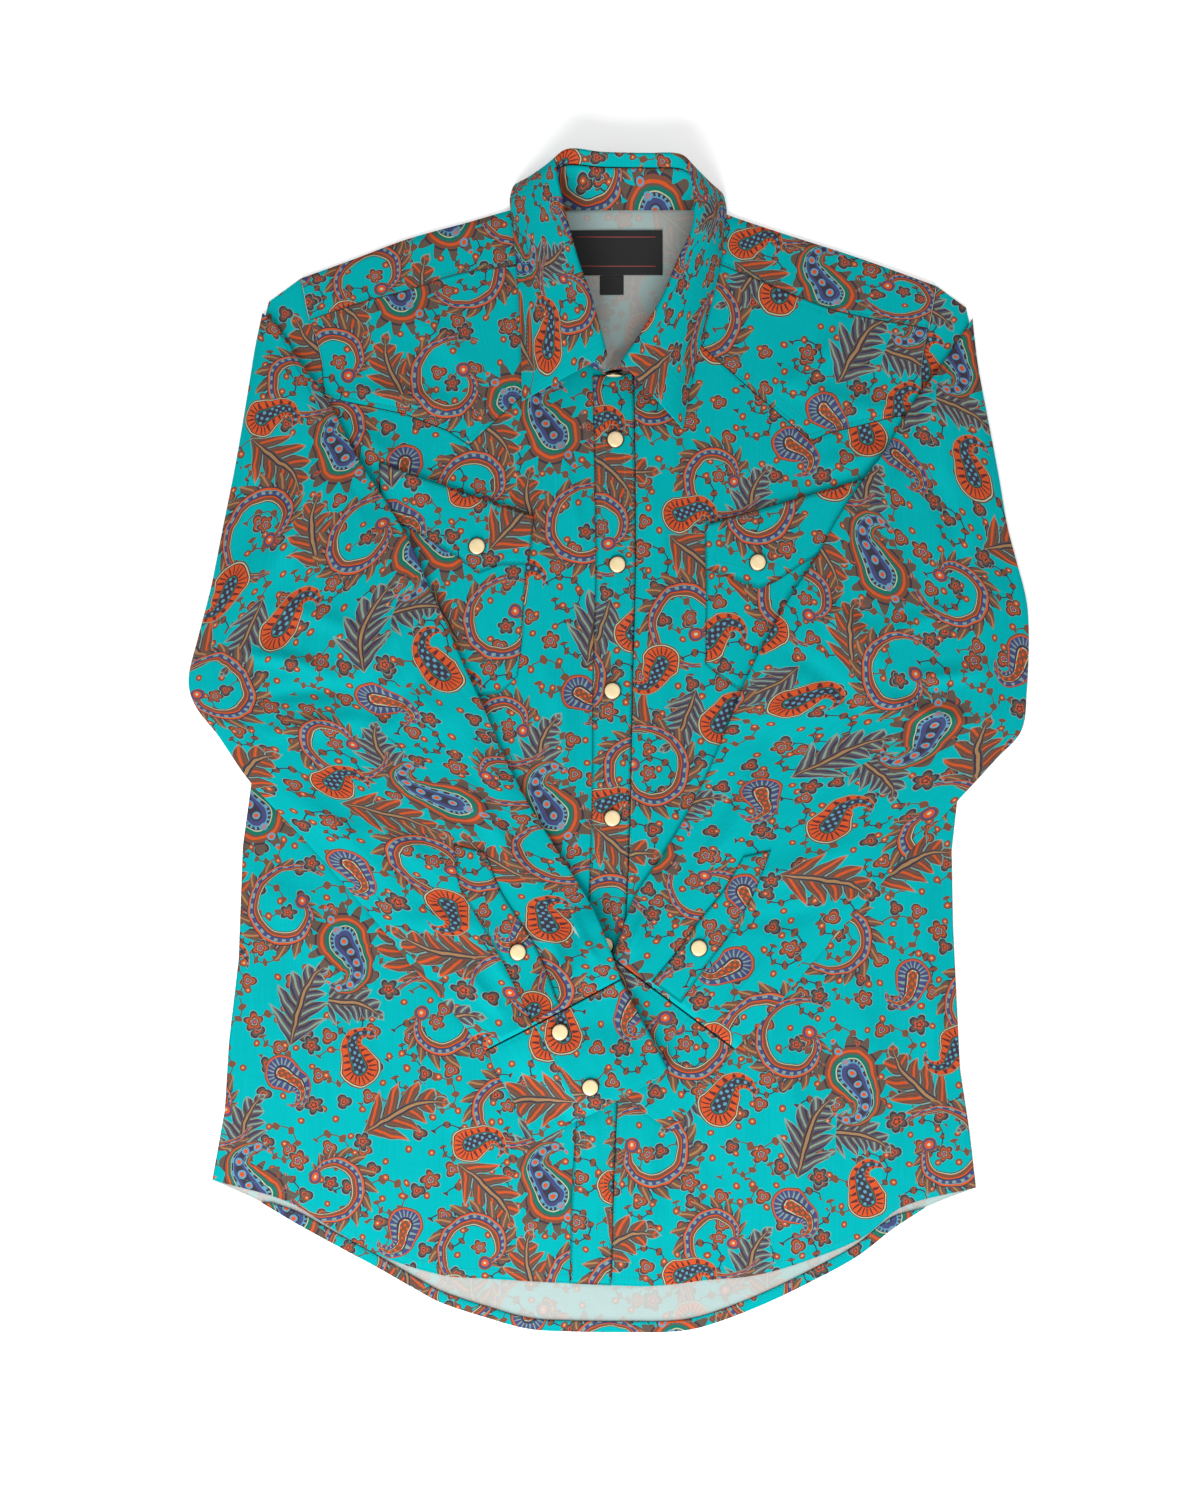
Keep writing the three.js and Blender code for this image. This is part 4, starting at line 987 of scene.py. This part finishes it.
PRINT = print_group()
# Every cloth material paints shade along the edges of each piece.
PRINTED = cloth_material("printed_cotton")
# This cloth's painted shade along its edges is darker and wider, for the placket, pockets, flaps, cuffs and
# gauntlets.
PRINTED_HEAVY_EDGE_SHADE = cloth_material("printed_cotton_heavy_edge_shade", edge_shade_tone=0.42, edge_shade_width=2.4)
WRONG_SIDE = cloth_material("printed_cotton_wrong_side", 0.74, ink(176, 180, 176))
THREAD = simple_material("thread", ink(20, 150, 150), 0.7, grain=0.3)
LABEL = simple_material("label_cloth", ink(12, 12, 14), 0.75, grain=0.4, scale=1500)
LABEL_LINE = simple_material("label_line", ink(150, 60, 60), 0.6, grain=0.3)
PEARL = simple_material("pearl", ink(222, 200, 154), 0.22, coat=0.6, grain=0.12, scale=260)
METAL = simple_material("snap_rim", ink(88, 74, 60), 0.3, metallic=1.0, grain=0.3)


# Body

def make_body():
    made = {}
    made["back"] = panel("back_panel", "back", dict(
        bottom=curve(BACK_HEM), top=straight([RIGHT_SIDE[-1], LEFT_SIDE[-1]]),
        left=straight(RIGHT_SIDE), right=straight(LEFT_SIDE),
    ), on_floor, 72, 77, WRONG_SIDE, PRINTED, (0, 40, 20), rests_on=())

    hem = BACK_HEM[1:18]
    inset = [(x * HEM_PINCH, y + HEM_TURN) for x, y in hem]
    inset[0], inset[-1] = HEM_ENDS
    made["hem"] = panel("back_hem_turn", "back_hem", dict(
        bottom=curve(hem), top=curve(inset),
        left=straight([hem[0], inset[0]]), right=straight([hem[-1], inset[-1]]),
    ), on_back, 150, 2, PRINTED, None, (180, 10, 60), dent=0.1)

    made["yoke"] = panel("back_yoke_ply", "back_yoke", dict(
        bottom=straight(shifted([RIGHT_SIDE[-1], LEFT_SIDE[-1]], 0, GAP)),
        top=curve(RIGHT_SHOULDER + LEFT_SHOULDER), left=straight([(-204, 235.3)] + RIGHT_ARMHOLE[1:]),
        right=straight([(225.5, 235.3)] + LEFT_ARMHOLE[1:]),
    ), on_floor, 80, 30, WRONG_SIDE, PRINTED, (0, 75, 130), rests_on=())
    shoulder_strip("back_yoke_front_right", RIGHT_SHOULDER_SEAM, RIGHT_SHOULDER, (0, 75, 120))
    shoulder_strip("back_yoke_front_left", LEFT_SHOULDER_SEAM, LEFT_SHOULDER, (0, 15, 170))

    under_lap = shifted(PLACKET_SEAM, -UNDER_LAP, 0)
    under_lap[0], under_lap[-1] = RIGHT_FRONT_HEM[-1], (13.2, 261)
    made["front_right"] = panel("front_right_panel", "front_right", dict(
        bottom=curve(RIGHT_FRONT_HEM), top=straight(RIGHT_YOKE_SEAM + [(-14, 270), (0, 263), (13.2, 261)]),
        left=straight(RIGHT_SIDE + RIGHT_YOKE_SEAM[:1]), right=curve(under_lap),
    ), under_front, 80, 156, PRINTED, WRONG_SIDE, (0, 0, 0))
    seam = shifted(PLACKET_SEAM, GAP, 0)
    made["front_left"] = panel("front_left_panel", "front_left", dict(
        bottom=curve([seam[0]] + LEFT_FRONT_HEM[1:]), top=straight([seam[-1], (37, 277)] + LEFT_YOKE_SEAM),
        left=curve(seam), right=straight(LEFT_SIDE[:-1] + LEFT_YOKE_SEAM[-1:]),
    ), left_front, 84, 154, PRINTED, WRONG_SIDE, (0, 62, 95))
    made["placket"] = panel("placket_band", "placket", dict(
        bottom=straight([PLACKET_EDGE[0], PLACKET_SEAM[0]]),
        top=straight([PLACKET_EDGE[-1], PLACKET_SEAM[-1]]),
        left=curve(PLACKET_EDGE), right=curve(PLACKET_SEAM),
    ), left_front, 10, 180, PRINTED_HEAVY_EDGE_SHADE, None, (2, 120, 30), rests_on=("front_right",))

    right = shifted(RIGHT_YOKE_SEAM, 0, 2 * GAP)
    shoulder = shifted(RIGHT_SHOULDER_SEAM, 0, -GAP)
    made["yoke_right"] = panel("front_yoke_right_panel", "front_yoke_right", dict(
        bottom=straight(right), top=curve(shoulder),
        left=straight([right[0], (-206, 273), (-210, 290), shoulder[0]]),
        right=curve([right[-1], (-34, 303), (-43, 326), shoulder[-1]]),
    ), under_front, 60, 36, PRINTED, None, (12, 40, 150))
    left = shifted(LEFT_YOKE_SEAM, 0, 2 * GAP)
    shoulder = shifted(LEFT_SHOULDER_SEAM, 0, -GAP)
    made["yoke_left"] = panel("front_yoke_left_panel", "front_yoke_left", dict(
        bottom=straight(left), top=curve(shoulder), left=curve([left[0], (60, 315), (65, 330), shoulder[0]]),
        right=straight([left[-1]] + LEFT_ARMHOLE[1:4] + [shoulder[-1]]),
    ), left_front, 60, 36, PRINTED, None, (-14, 100, 40))

    for name, shape, level, print_at, bottom, rows, rests in (
        ("pocket_right", RIGHT_POCKET, on_right_front, (17, 30, 50), curve, 40, "front_right"),
        ("pocket_left", LEFT_POCKET, on_left_front, (-14, 90, 20), curve, 40, "front_left"),
        ("flap_right", RIGHT_FLAP, on_right_pocket, (17, 80, 110), straight, 16, "pocket_right"),
        ("flap_left", LEFT_FLAP, on_left_pocket, (-14, 30, 160), straight, 16, "pocket_left"),
    ):
        made[name] = panel(name + "_panel", name, dict(
            bottom=bottom(shape["bottom"]), top=straight(shape["top"]),
            left=curve(shape["left"]), right=curve(shape["right"]),
        ), level, 40, rows, PRINTED_HEAVY_EDGE_SHADE, None, print_at, rests_on=(rests,))

    for name, side, inset in (
        ("front_right", "bottom", HEM_IN), ("front_left", "bottom", HEM_IN), ("front_left", "left", SEAM_IN),
        ("placket", "left", SEAM_IN), ("placket", "right", SEAM_IN), ("yoke_right", "bottom", SEAM_IN),
        ("yoke_left", "bottom", SEAM_IN), ("hem", "top", SEAM_IN),
    ):
        sew_side(made[name], side, inset)
    for name, sides in dict(
        pocket_right=("bottom", "right", "left"), pocket_left=("bottom", "left", "right"),
        flap_right=("bottom", "top", "left", "right"), flap_left=("bottom", "top", "left", "right"),
    ).items():
        for side in sides:
            sew_side(made[name], side)
    for name, side in (("placket", "left"), ("placket", "right"), ("flap_right", "bottom"),
                       ("flap_left", "bottom"), ("yoke_right", "bottom"), ("yoke_left", "bottom")):
        sew_side(made[name], side, SECOND_ROW_IN)
    return made


def shoulder_strip(name, seam, shoulder, print_at):
    """The yoke's front end: from its seam up to the shoulder and round its fold."""
    columns, deep = 70, 40
    low, high = curve(shifted(seam, 0, GAP)), curve(shoulder)
    u = np.linspace(0, 1, columns)
    a, b = low(u), high(u)
    way = np.gradient(b, axis=0)
    way /= np.linalg.norm(way, axis=1)[:, None]
    out = np.stack([-way[:, 1], way[:, 0]], axis=1)
    radius = (CLOTH + LAYER) / 2
    rows = []
    for v in lines(deep, 14)[:-len(RIM)]:
        plan = a + (b - out * radius - a) * v
        rows.append(np.column_stack([plan, np.full(columns, 2 * radius) - dented(v * deep)]))
    for turn in np.linspace(math.pi / 2, -math.pi / 2, 9)[1:]:
        plan = b - out * radius + out * radius * math.cos(turn)
        rows.append(np.column_stack([plan, np.full(columns, radius + radius * math.sin(turn))]))
    outer = np.array(rows)
    normal = np.cross(np.gradient(outer, axis=1), np.gradient(outer, axis=0))
    normal /= np.linalg.norm(normal, axis=-1)[..., None]
    inner = outer - normal * 0.9
    middle = outer[:, columns // 2]
    along = np.concatenate([[0], np.cumsum(np.linalg.norm(middle[1:] - middle[:-1], axis=1))])
    plan = outer[..., :2].copy()
    plan[..., 1] = outer[:1, :, 1] + along[:, None]
    made = wall(name, inner, outer, turned(plan, *print_at), PRINTED, WRONG_SIDE)
    declare(made, None, outer)
    sew(outer[np.argmin(np.abs(along - SEAM_IN))] + [0, 0, DENT])


# Sleeves

def tube(name, node_name, rows, level, print_at, flip):
    """A flattened sleeve: rings round its sections, with the cloth's print running down its length."""
    steps, around = 150, 64
    row = curve([((a + c) / 2, (b + d) / 2, a, b, c, d) for a, b, c, d in rows])
    r = row(np.linspace(0, 1, steps + 1))
    share = np.linspace(0, 1, around + 1)
    bow = 0.5 - 0.5 * np.cos(math.pi * share)
    fold = np.sin(math.pi * share) ** 0.35
    rings, maps = [], []
    middle = np.concatenate([[0], np.cumsum(np.hypot(*(r[1:, :2] - r[:-1, :2]).T))])
    for k in range(steps + 1):
        outer, inner = r[k, 2:4], r[k, 4:6]
        width = np.hypot(*(inner - outer))
        plan = outer + (inner - outer) * bow[:, None]
        x, y = plan.T
        base = np.maximum(0.1, level(x, y))
        thick = sleeve_rise(bow)
        shut = smoothstep(0, 60, middle[k]) * 0.5 + 0.5
        crease = ridges(SLEEVE_CREASES, x, y) * fold
        puff = crease * 1.2 + PLUMP * np.sin(math.pi * share)
        top = base + thick * (0.5 + 0.5 * fold) * shut + puff * shut
        low = base + thick * 0.5 * (1 - fold) * shut
        rings.append(np.concatenate([np.column_stack([x, y, top]), np.column_stack([x, y, low])[-2:0:-1]]))
        maps.append(np.column_stack([bow * width * flip, np.full(around + 1, -middle[k])]))
    outer = np.array(rings)
    count = outer.shape[1]
    uv = []
    for over in maps:
        back = over[-2:0:-1]
        uv.append(np.concatenate([over, np.column_stack([2 * over[-1, 0] - back[:, 0], back[:, 1]])]))
    uv = np.array(uv)
    centre = outer.mean(axis=1, keepdims=True)
    inner = outer.copy()
    on_top = np.arange(count) <= around
    inner[..., 2] += np.where(on_top, -0.6, 0.6) * np.abs(np.sin(math.pi * np.arange(count) / around)) ** 0.5
    inner[..., :2] = centre[..., :2] + (outer[..., :2] - centre[..., :2]) * 0.985
    full = np.concatenate([outer, outer[:, :1]], axis=1)
    hollow = np.concatenate([inner, inner[:, :1]], axis=1)
    last = np.stack([2 * uv[:, around, 0] - uv[:, 0, 0], uv[:, 0, 1]], axis=-1)[:, None]
    uv = np.concatenate([uv, last], axis=1)
    made = wall(name, hollow, full, turned(uv, *print_at), PRINTED, WRONG_SIDE, closed=True)
    declare(made, node_name, full)
    return made


def sleeve_head(name, rows, armhole, to_body, print_at):
    """The sleeve's head, flat beside the body from the armhole seam out to the fold."""
    fold = [row[:2] for row in rows[:8]]
    inset = [(x + 2.5 * to_body, y - 1) for x, y in fold]
    seam = [(x - GAP * to_body, y) for x, y in armhole]
    tip = (inset[0][0] + 2 * to_body, inset[0][1] + 9)
    sides = dict(bottom=straight([inset[7], seam[0]]), top=straight([tip, seam[-1]]),
                 left=straight(inset[::-1] + [tip]), right=straight(seam))
    return panel(name, None, sides, on_floor, 20, 60, PRINTED, None, print_at, rests_on=())


GAUNTLETS = dict(
    gauntlet_right=([(-54.7, -202), (-77.8, -154.8), (-95.8, -123.8), (-106.6, -105), (-111, -74.2)],
                    [(-35, -188), (-49.7, -152), (-62, -131), (-77, -107.3), (-88, -80)]),
    gauntlet_left=([(31, -172.5), (49, -150.5), (66.2, -126.7), (82, -107.3), (96.5, -82.8)],
                   [(52, -188), (72, -159), (86.4, -139.7), (103.7, -110.9), (116.6, -78.5)]))
UNDER_END = 0.56  # where a cuff's hidden end stops, as a share of its width
TOP_END = 0.37


def cuff(name, node_name, corners, level, print_at):
    """A closed cuff: its under end on its lower ply, its snapped end over both."""
    a, b, c, d = [np.array(p, float) for p in corners]
    drop = np.hypot(*(d - a))
    clear = (d - a) / drop * 3 * GAP
    a, b = a + clear, b + clear
    width = np.hypot(*(b - a))
    tuck = CUFF_CLOTH / width
    second, third = CUFF_LAYER, 2 * CUFF_LAYER
    inner = [(UNDER_END, second), (2 * tuck, second), (tuck, (second + CUFF_CLOTH) / 2),
             (2 * tuck, CUFF_CLOTH), (1 - 2 * tuck, CUFF_CLOTH), (1 - tuck, (third + CUFF_CLOTH) / 2),
             (1 - 2 * tuck, third), (TOP_END, third)]
    outer = [(UNDER_END, second + CUFF_CLOTH), (2 * tuck, second + CUFF_CLOTH),
             (0.4 * tuck, second + 0.7 * CUFF_CLOTH), (0, (second + CUFF_CLOTH) / 2),
             (0.4 * tuck, 0.3 * CUFF_CLOTH), (2 * tuck, 0), (1 - 2 * tuck, 0),
             (1 - 0.4 * tuck, 0.5 * CUFF_CLOTH), (1, (third + CUFF_CLOTH) / 2),
             (1 - 0.4 * tuck, third + 0.6 * CUFF_CLOTH), (1 - 2 * tuck, third + CUFF_CLOTH),
             (TOP_END, third + CUFF_CLOTH)]

    def finer(section):
        section = np.array(section)
        step = np.hypot(np.diff(section[:, 0]) * width, np.diff(section[:, 1]))
        along = np.concatenate([[0], np.cumsum(step)])
        full, ends = along[-1], np.array(RIM)
        at = np.unique(np.concatenate([np.linspace(0, full, 150), along, ends, full - ends]))
        return np.column_stack([np.interp(at, along, section[:, k]) for k in (0, 1)]), at

    outer, spread = finer(outer)
    share = spread / spread[-1]
    rough, along = finer(inner)
    inner = np.column_stack([np.interp(share, along / along[-1], rough[:, k]) for k in (0, 1)])
    v = lines(drop, 40)
    start, end = a + (d - a) * v[:, None], b + (c - b) * v[:, None]
    across, down = np.meshgrid(spread, v)
    edge = np.minimum.reduce([down * drop, (1 - down) * drop, across, spread[-1] - across])
    slim = edge_rise(edge, 1.0, 0.18)

    def grid(section):
        plan = start[:, None] + (end - start)[:, None] * section[None, :, :1]
        return np.dstack([plan, level(plan[..., 0], plan[..., 1]) + section[None, :, 1]])

    far, near = grid(inner), grid(outer)
    near = far + (near - far) * slim[..., None]
    uv = np.dstack([across, -down * drop])
    made = wall(name, far, near, turned(uv, *print_at), PRINTED_HEAVY_EDGE_SHADE, PRINTED_HEAVY_EDGE_SHADE)
    declare(made, node_name, near)
    for at in (SEAM_IN, drop - SEAM_IN):
        row = np.argmin(np.abs(v * drop - at))
        sew(near[row, -60:] + [0, 0, 0.05])
    column = np.argmin(np.abs(spread - (spread[-1] - SEAM_IN)))
    sew(near[6:-6, column] + [0, 0, 0.05])
    return made


def make_sleeves():
    made = {}
    right_head = RIGHT_SIDE[7:] + RIGHT_ARMHOLE[1:]
    left_head = LEFT_SIDE[7:] + LEFT_ARMHOLE[1:]
    made["left"] = tube("sleeve_left_cloth", "sleeve_left", LEFT_SLEEVE, on_body, (-8, 40, 150), -1)
    made["right"] = tube("sleeve_right_cloth", "sleeve_right", RIGHT_SLEEVE, on_left_sleeve, (8, 110, 60), 1)
    sleeve_head("sleeve_head_left", LEFT_SLEEVE, left_head, -1, (-8, 60, 20))
    sleeve_head("sleeve_head_right", RIGHT_SLEEVE, right_head, 1, (8, 20, 90))
    made["cuff_left"] = cuff("cuff_left_cloth", "cuff_left", LEFT_CUFF, on_body, (0, 60, 90))
    made["cuff_right"] = cuff("cuff_right_cloth", "cuff_right", RIGHT_CUFF, on_left_sleeve, (0, 16, 55))
    for name, (left, right) in GAUNTLETS.items():
        end = name.split("_")[1]
        sides = dict(bottom=straight([left[0], right[0]]), top=straight([left[-1], right[-1]]),
                     left=curve(left), right=curve(right))
        turn = -30 if end == "right" else 35
        piece = panel(name + "_strip", name, sides, top_of(made[end], GAP), 8, 60, PRINTED_HEAVY_EDGE_SHADE, None,
                      (turn, 50, 70), rests_on=("sleeve_" + end,))
        for side in ("left", "right", "top"):
            sew_side(piece, side)
        made[name] = piece["object"]
    return made


# Collar: seam, roll and edge of each section, from the right front round the back to the left front
COLLAR = [
    # seam x, y, z, roll x, y, z, edge x, y, z, bulge
    (-8, 266, 5.2, -1, 275, 27, -61.9, 244, 4.4, 4), (-20, 275, 4.8, -6, 296, 27, -62.5, 283, 4.6, 5),
    (-30, 291, 4.2, -12, 318, 27, -64, 319, 4.6, 5), (-42, 320, 4.1, -20, 339, 27, -65.5, 340, 4.6, 5),
    (-51, 350, 4.1, -28, 367, 27, -68.5, 372, 4.6, 5), (-54, 370, 4.1, -32.5, 385, 28, -70, 391, 4.4, 4),
    (-50, 381, 3.8, -37, 413, 29, -62, 401, 3.2, 2), (-36, 382, 2.8, -27.4, 422.5, 27, -42, 394, 2.0, -0.5),
    (-8, 382, 2.6, -6, 421, 25, -8, 389, 1.8, -1), (12, 382, 2.6, 12, 420.5, 24, 12, 388, 1.8, -1),
    (32, 382, 2.6, 30, 420, 25, 32, 389, 1.8, -1), (56, 382, 2.8, 49, 419, 27, 60, 393, 2.0, -0.5),
    (68, 381, 3.8, 56.5, 412, 29, 77, 396, 3.2, 2), (72, 370, 4.1, 61.5, 385, 28, 84, 384, 4.4, 4),
    (69.5, 350, 4.1, 60, 366, 27, 83, 366, 4.6, 5), (63, 326, 4.1, 49, 342, 27, 79, 338, 4.6, 5),
    (53, 303, 4.2, 39, 318, 27, 70, 301, 4.6, 5), (38, 281, 5, 26, 296, 27, 60, 262, 4.6, 5),
    (16, 266, 5.8, 9, 270, 27, 53.3, 224, 4.6, 4),
]
STAND_END = (-4, 263.4, 4.9, -4, 264.4, 24, 53.3, 224, 4.6, 4)
LEAF_SEAM = 0.26  # how far below the roll the leaf joins the stand, as a share of the stand
STAND_SHORT = 0.02


def far_along(middle, axis):
    """Distance over a grid of points from its first row or column."""
    step = np.linalg.norm(np.diff(middle, axis=axis), axis=-1)
    shape = list(step.shape)
    shape[axis] = 1
    return np.concatenate([np.zeros(shape), np.cumsum(step, axis=axis)], axis=axis)


def skin(name, node_name, middle, uv):
    """A wall grown out of one side of a curved sheet, its edges rounded."""
    normal = np.cross(np.gradient(middle, axis=1), np.gradient(middle, axis=0))
    normal /= np.linalg.norm(normal, axis=-1)[..., None]
    across, along = far_along(middle, 1), far_along(middle, 0)
    edge = np.minimum.reduce([across, across[:, -1:] - across, along, along[-1:] - along])
    slim = edge_rise(edge, 1.0, 0.18)[..., None]
    centre = middle + normal * (CLOTH / 2)
    half = normal * CLOTH / 2 * slim
    lower, upper = centre - half, centre + half
    made = wall(name, lower, upper, uv, PRINTED, PRINTED)
    declare(made, node_name, upper)
    return lower, upper


def collar_parts(rows, u):
    """The seam, roll, edge and bulge of a table of the collar, at shares of its length."""
    r = curve([(row[3], row[4], *row) for row in rows])(u)
    return r[:, 2:5], r[:, 5:8], r[:, 8:11], r[:, 11]


def make_collar():
    ends = np.array(RIM) / 430
    u = np.concatenate([ends, np.linspace(0, 1, 151)[2:-2], 1 - ends[::-1]])
    seam, roll, _, _ = collar_parts(COLLAR + [STAND_END], u)
    v = np.linspace(0, 1, 14)[:, None, None]
    stand = seam + (roll - seam) * v * (1 - LEAF_SEAM - STAND_SHORT)
    uv = np.dstack(np.meshgrid(far_along(roll, 0), v.ravel() * 22))
    skin("collar_stand_band", "collar_stand", stand, turned(uv, 0, 20, 130))

    seam, roll, edge, bulge = collar_parts(COLLAR, u)
    join = roll + (seam - roll) * LEAF_SEAM
    rise = [join + (roll - join) * t for t in np.linspace(0, 1, 7)[:-1]]
    wide = np.linalg.norm(edge - roll, axis=1).max()
    down = np.concatenate([np.linspace(0, 1, 34)[:-2], 1 - np.array(RIM[::-1]) / wide])
    fall = [roll + (edge - roll) * w + np.outer(bulge * 4 * w * (1 - w), [0, 0, 1]) for w in down]
    leaf = np.array(rise + fall)
    fold = len(rise)
    for _ in range(3):  # rounds the fold at the roll
        before, here, after = leaf[fold - 3:fold + 2], leaf[fold - 2:fold + 3], leaf[fold - 1:fold + 4]
        leaf[fold - 2:fold + 3] = (before + 2 * here + after) / 4
    depth = np.concatenate([[0], np.cumsum(np.linalg.norm(np.diff(leaf, axis=0), axis=-1).max(axis=1))])
    uv = np.dstack(np.meshgrid(far_along(roll, 0), -depth))
    low, high = skin("collar_leaf_fold", "collar_leaf", leaf, turned(uv, 0, 96, 40))
    face = high if high[-1, :, 2].mean() > low[-1, :, 2].mean() else low
    inset = np.argmin(np.abs((1 - down) * wide - 6)) + fold
    sew(face[inset, 8:-8] + [0, 0, 0.1])
    for column in (11, -12):
        sew(face[fold + 2:inset, column] + [0, 0, 0.1])


LABEL_CLOTH = 1.0
LABEL_LINES = (362.5, 341.5)


def make_labels():
    def tab(name, x0, x1, y0, y1):
        sides = dict(bottom=straight([(x0, y0), (x1, y0)]), top=straight([(x0, y1), (x1, y1)]),
                     left=straight([(x0, y0), (x0, y1)]), right=straight([(x1, y0), (x1, y1)]))
        return panel(name + "_cloth", name, sides, on_back, 20, 12, LABEL, None, thick=LABEL_CLOTH,
                     rests_on=("back_yoke",), dent=0.1)

    tab("neck_label", -28, 39, 335.2, 367.5)
    tab("size_tab", -6, 11, 321, 334.9)
    bm = bmesh.new()
    for y in LABEL_LINES:
        shape = Matrix.Diagonal((57, 0.7, 0.3, 1))
        place = Matrix.Translation((5.5, y, LAYER + LABEL_CLOTH))
        bmesh.ops.create_cube(bm, size=1, matrix=place @ shape)
    bmesh.ops.bevel(bm, geom=bm.edges[:], offset=0.1, affect="EDGES", segments=1, profile=0.5, material=-1)
    made = finished("label_lines", bm, LABEL_LINE)
    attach(made, "root")


# Snaps

SNAP_PROFILE = [
    # radius, height: the metal rim, then the pearl cap
    (0, 0), (SNAP_RIM_RADIUS - 0.5, 0), (SNAP_RIM_RADIUS - 0.1, 0.2), (SNAP_RIM_RADIUS, 0.7),
    (SNAP_RIM_RADIUS - 0.1, 1.2), (SNAP_RIM_RADIUS - 0.45, 1.5), (SNAP_RADIUS - 0.2, 1.45),
    (SNAP_RADIUS - 0.25, 1.65), (SNAP_RADIUS - 0.5, 1.95), (SNAP_RADIUS - 1.3, 2.25), (3.0, 2.5),
    (1.4, 2.58), (0, SNAP_HEIGHT),
]
CAP_FROM = 1.6  # height above which the snap is pearl


def snap(name, place):
    """A pearl cap in a thin metal rim, spun about its axis and set at a place."""
    bm = bmesh.new()
    line = [bm.verts.new((radius, 0, height)) for radius, height in SNAP_PROFILE]
    edges = [bm.edges.new(pair) for pair in zip(line, line[1:])]
    bmesh.ops.spin(bm, geom=line + edges, cent=(0, 0, 0), axis=(0, 0, 1), angle=2 * math.pi, steps=36,
                   use_merge=True)
    bmesh.ops.remove_doubles(bm, verts=bm.verts[:], dist=0.001)
    for face in bm.faces:
        face.material_index = int(face.calc_center_median().z > CAP_FROM)
    bmesh.ops.transform(bm, matrix=place, verts=bm.verts[:])
    made = finished(name + "_cap", bm, METAL, PEARL)
    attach(made, "root")
    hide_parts(name)


def make_snaps(body, sleeves):
    def place(name, spot, cloth):
        height = top_of(cloth)
        turns = np.radians(np.arange(0, 360, 45))
        x = spot[0] + np.concatenate([[0], SNAP_RIM_RADIUS * np.cos(turns)])
        y = spot[1] + np.concatenate([[0], SNAP_RIM_RADIUS * np.sin(turns)])
        snap(name, Matrix.Translation((*spot, height(x, y).max() - 0.1)))

    for i, spot in enumerate(PLACKET_SNAPS):
        place(f"snap_placket_{i + 1}", spot, body["placket"]["object"])
    for name, spot in FLAP_SNAPS.items():
        place(name, spot, body[name.replace("snap_", "")]["object"])
    for name, spot in GAUNTLET_SNAPS.items():
        place(name, spot, sleeves[name.replace("snap_", "")])
    for i, spot in enumerate(CUFF_SNAPS):
        place(f"snap_cuff_right_{i + 1}", spot, sleeves["cuff_right"])
    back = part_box("snap_collar")[1].y * 1000
    upright = Matrix.Rotation(math.pi / 2, 4, "X")
    snap("snap_collar", Matrix.Translation((COLLAR_SNAP[0], back, COLLAR_SNAP[1])) @ upright)


# Floor and light

def set_stage():
    bm = bmesh.new()
    bmesh.ops.create_grid(bm, x_segments=8, y_segments=8, size=4000, matrix=Matrix.Translation((0, 0, -0.3)))
    floor = finished("floor", bm, simple_material("floor", ink(250, 250, 250), 0.9, grain=0.01, scale=20))
    shader = floor.data.materials[0].node_tree.nodes["Principled BSDF"]
    shader.inputs["Emission Color"].default_value = (1, 1, 1, 1)
    shader.inputs["Emission Strength"].default_value = 0.25
    world = bpy.data.worlds.new("world")
    world.use_nodes = True
    sky = world.node_tree.nodes["Background"]
    sky.inputs["Color"].default_value = (1, 1, 1, 1)
    sky.inputs["Strength"].default_value = 0.42
    bpy.context.scene.world = world
    key = bpy.data.lights.new("key", "AREA")
    key.size = 1.5
    key.energy = 62
    fill = bpy.data.lights.new("fill", "SUN")
    fill.angle = math.radians(60)
    fill.energy = 0.9
    for data, place in ((key, Vector((-0.4, -1.55, 1.08))), (fill, Vector((0.8, 0.9, 1.8)))):
        light = bpy.data.objects.new(data.name, data)
        light.location = place
        light.rotation_euler = place.to_track_quat("Z", "Y").to_euler()
        bpy.context.scene.collection.objects.link(light)
    bpy.context.scene.view_settings.view_transform = "Standard"


body = make_body()
sleeves = make_sleeves()
make_collar()
make_labels()
make_snaps(body, sleeves)
make_stitches(THREAD)
set_stage()
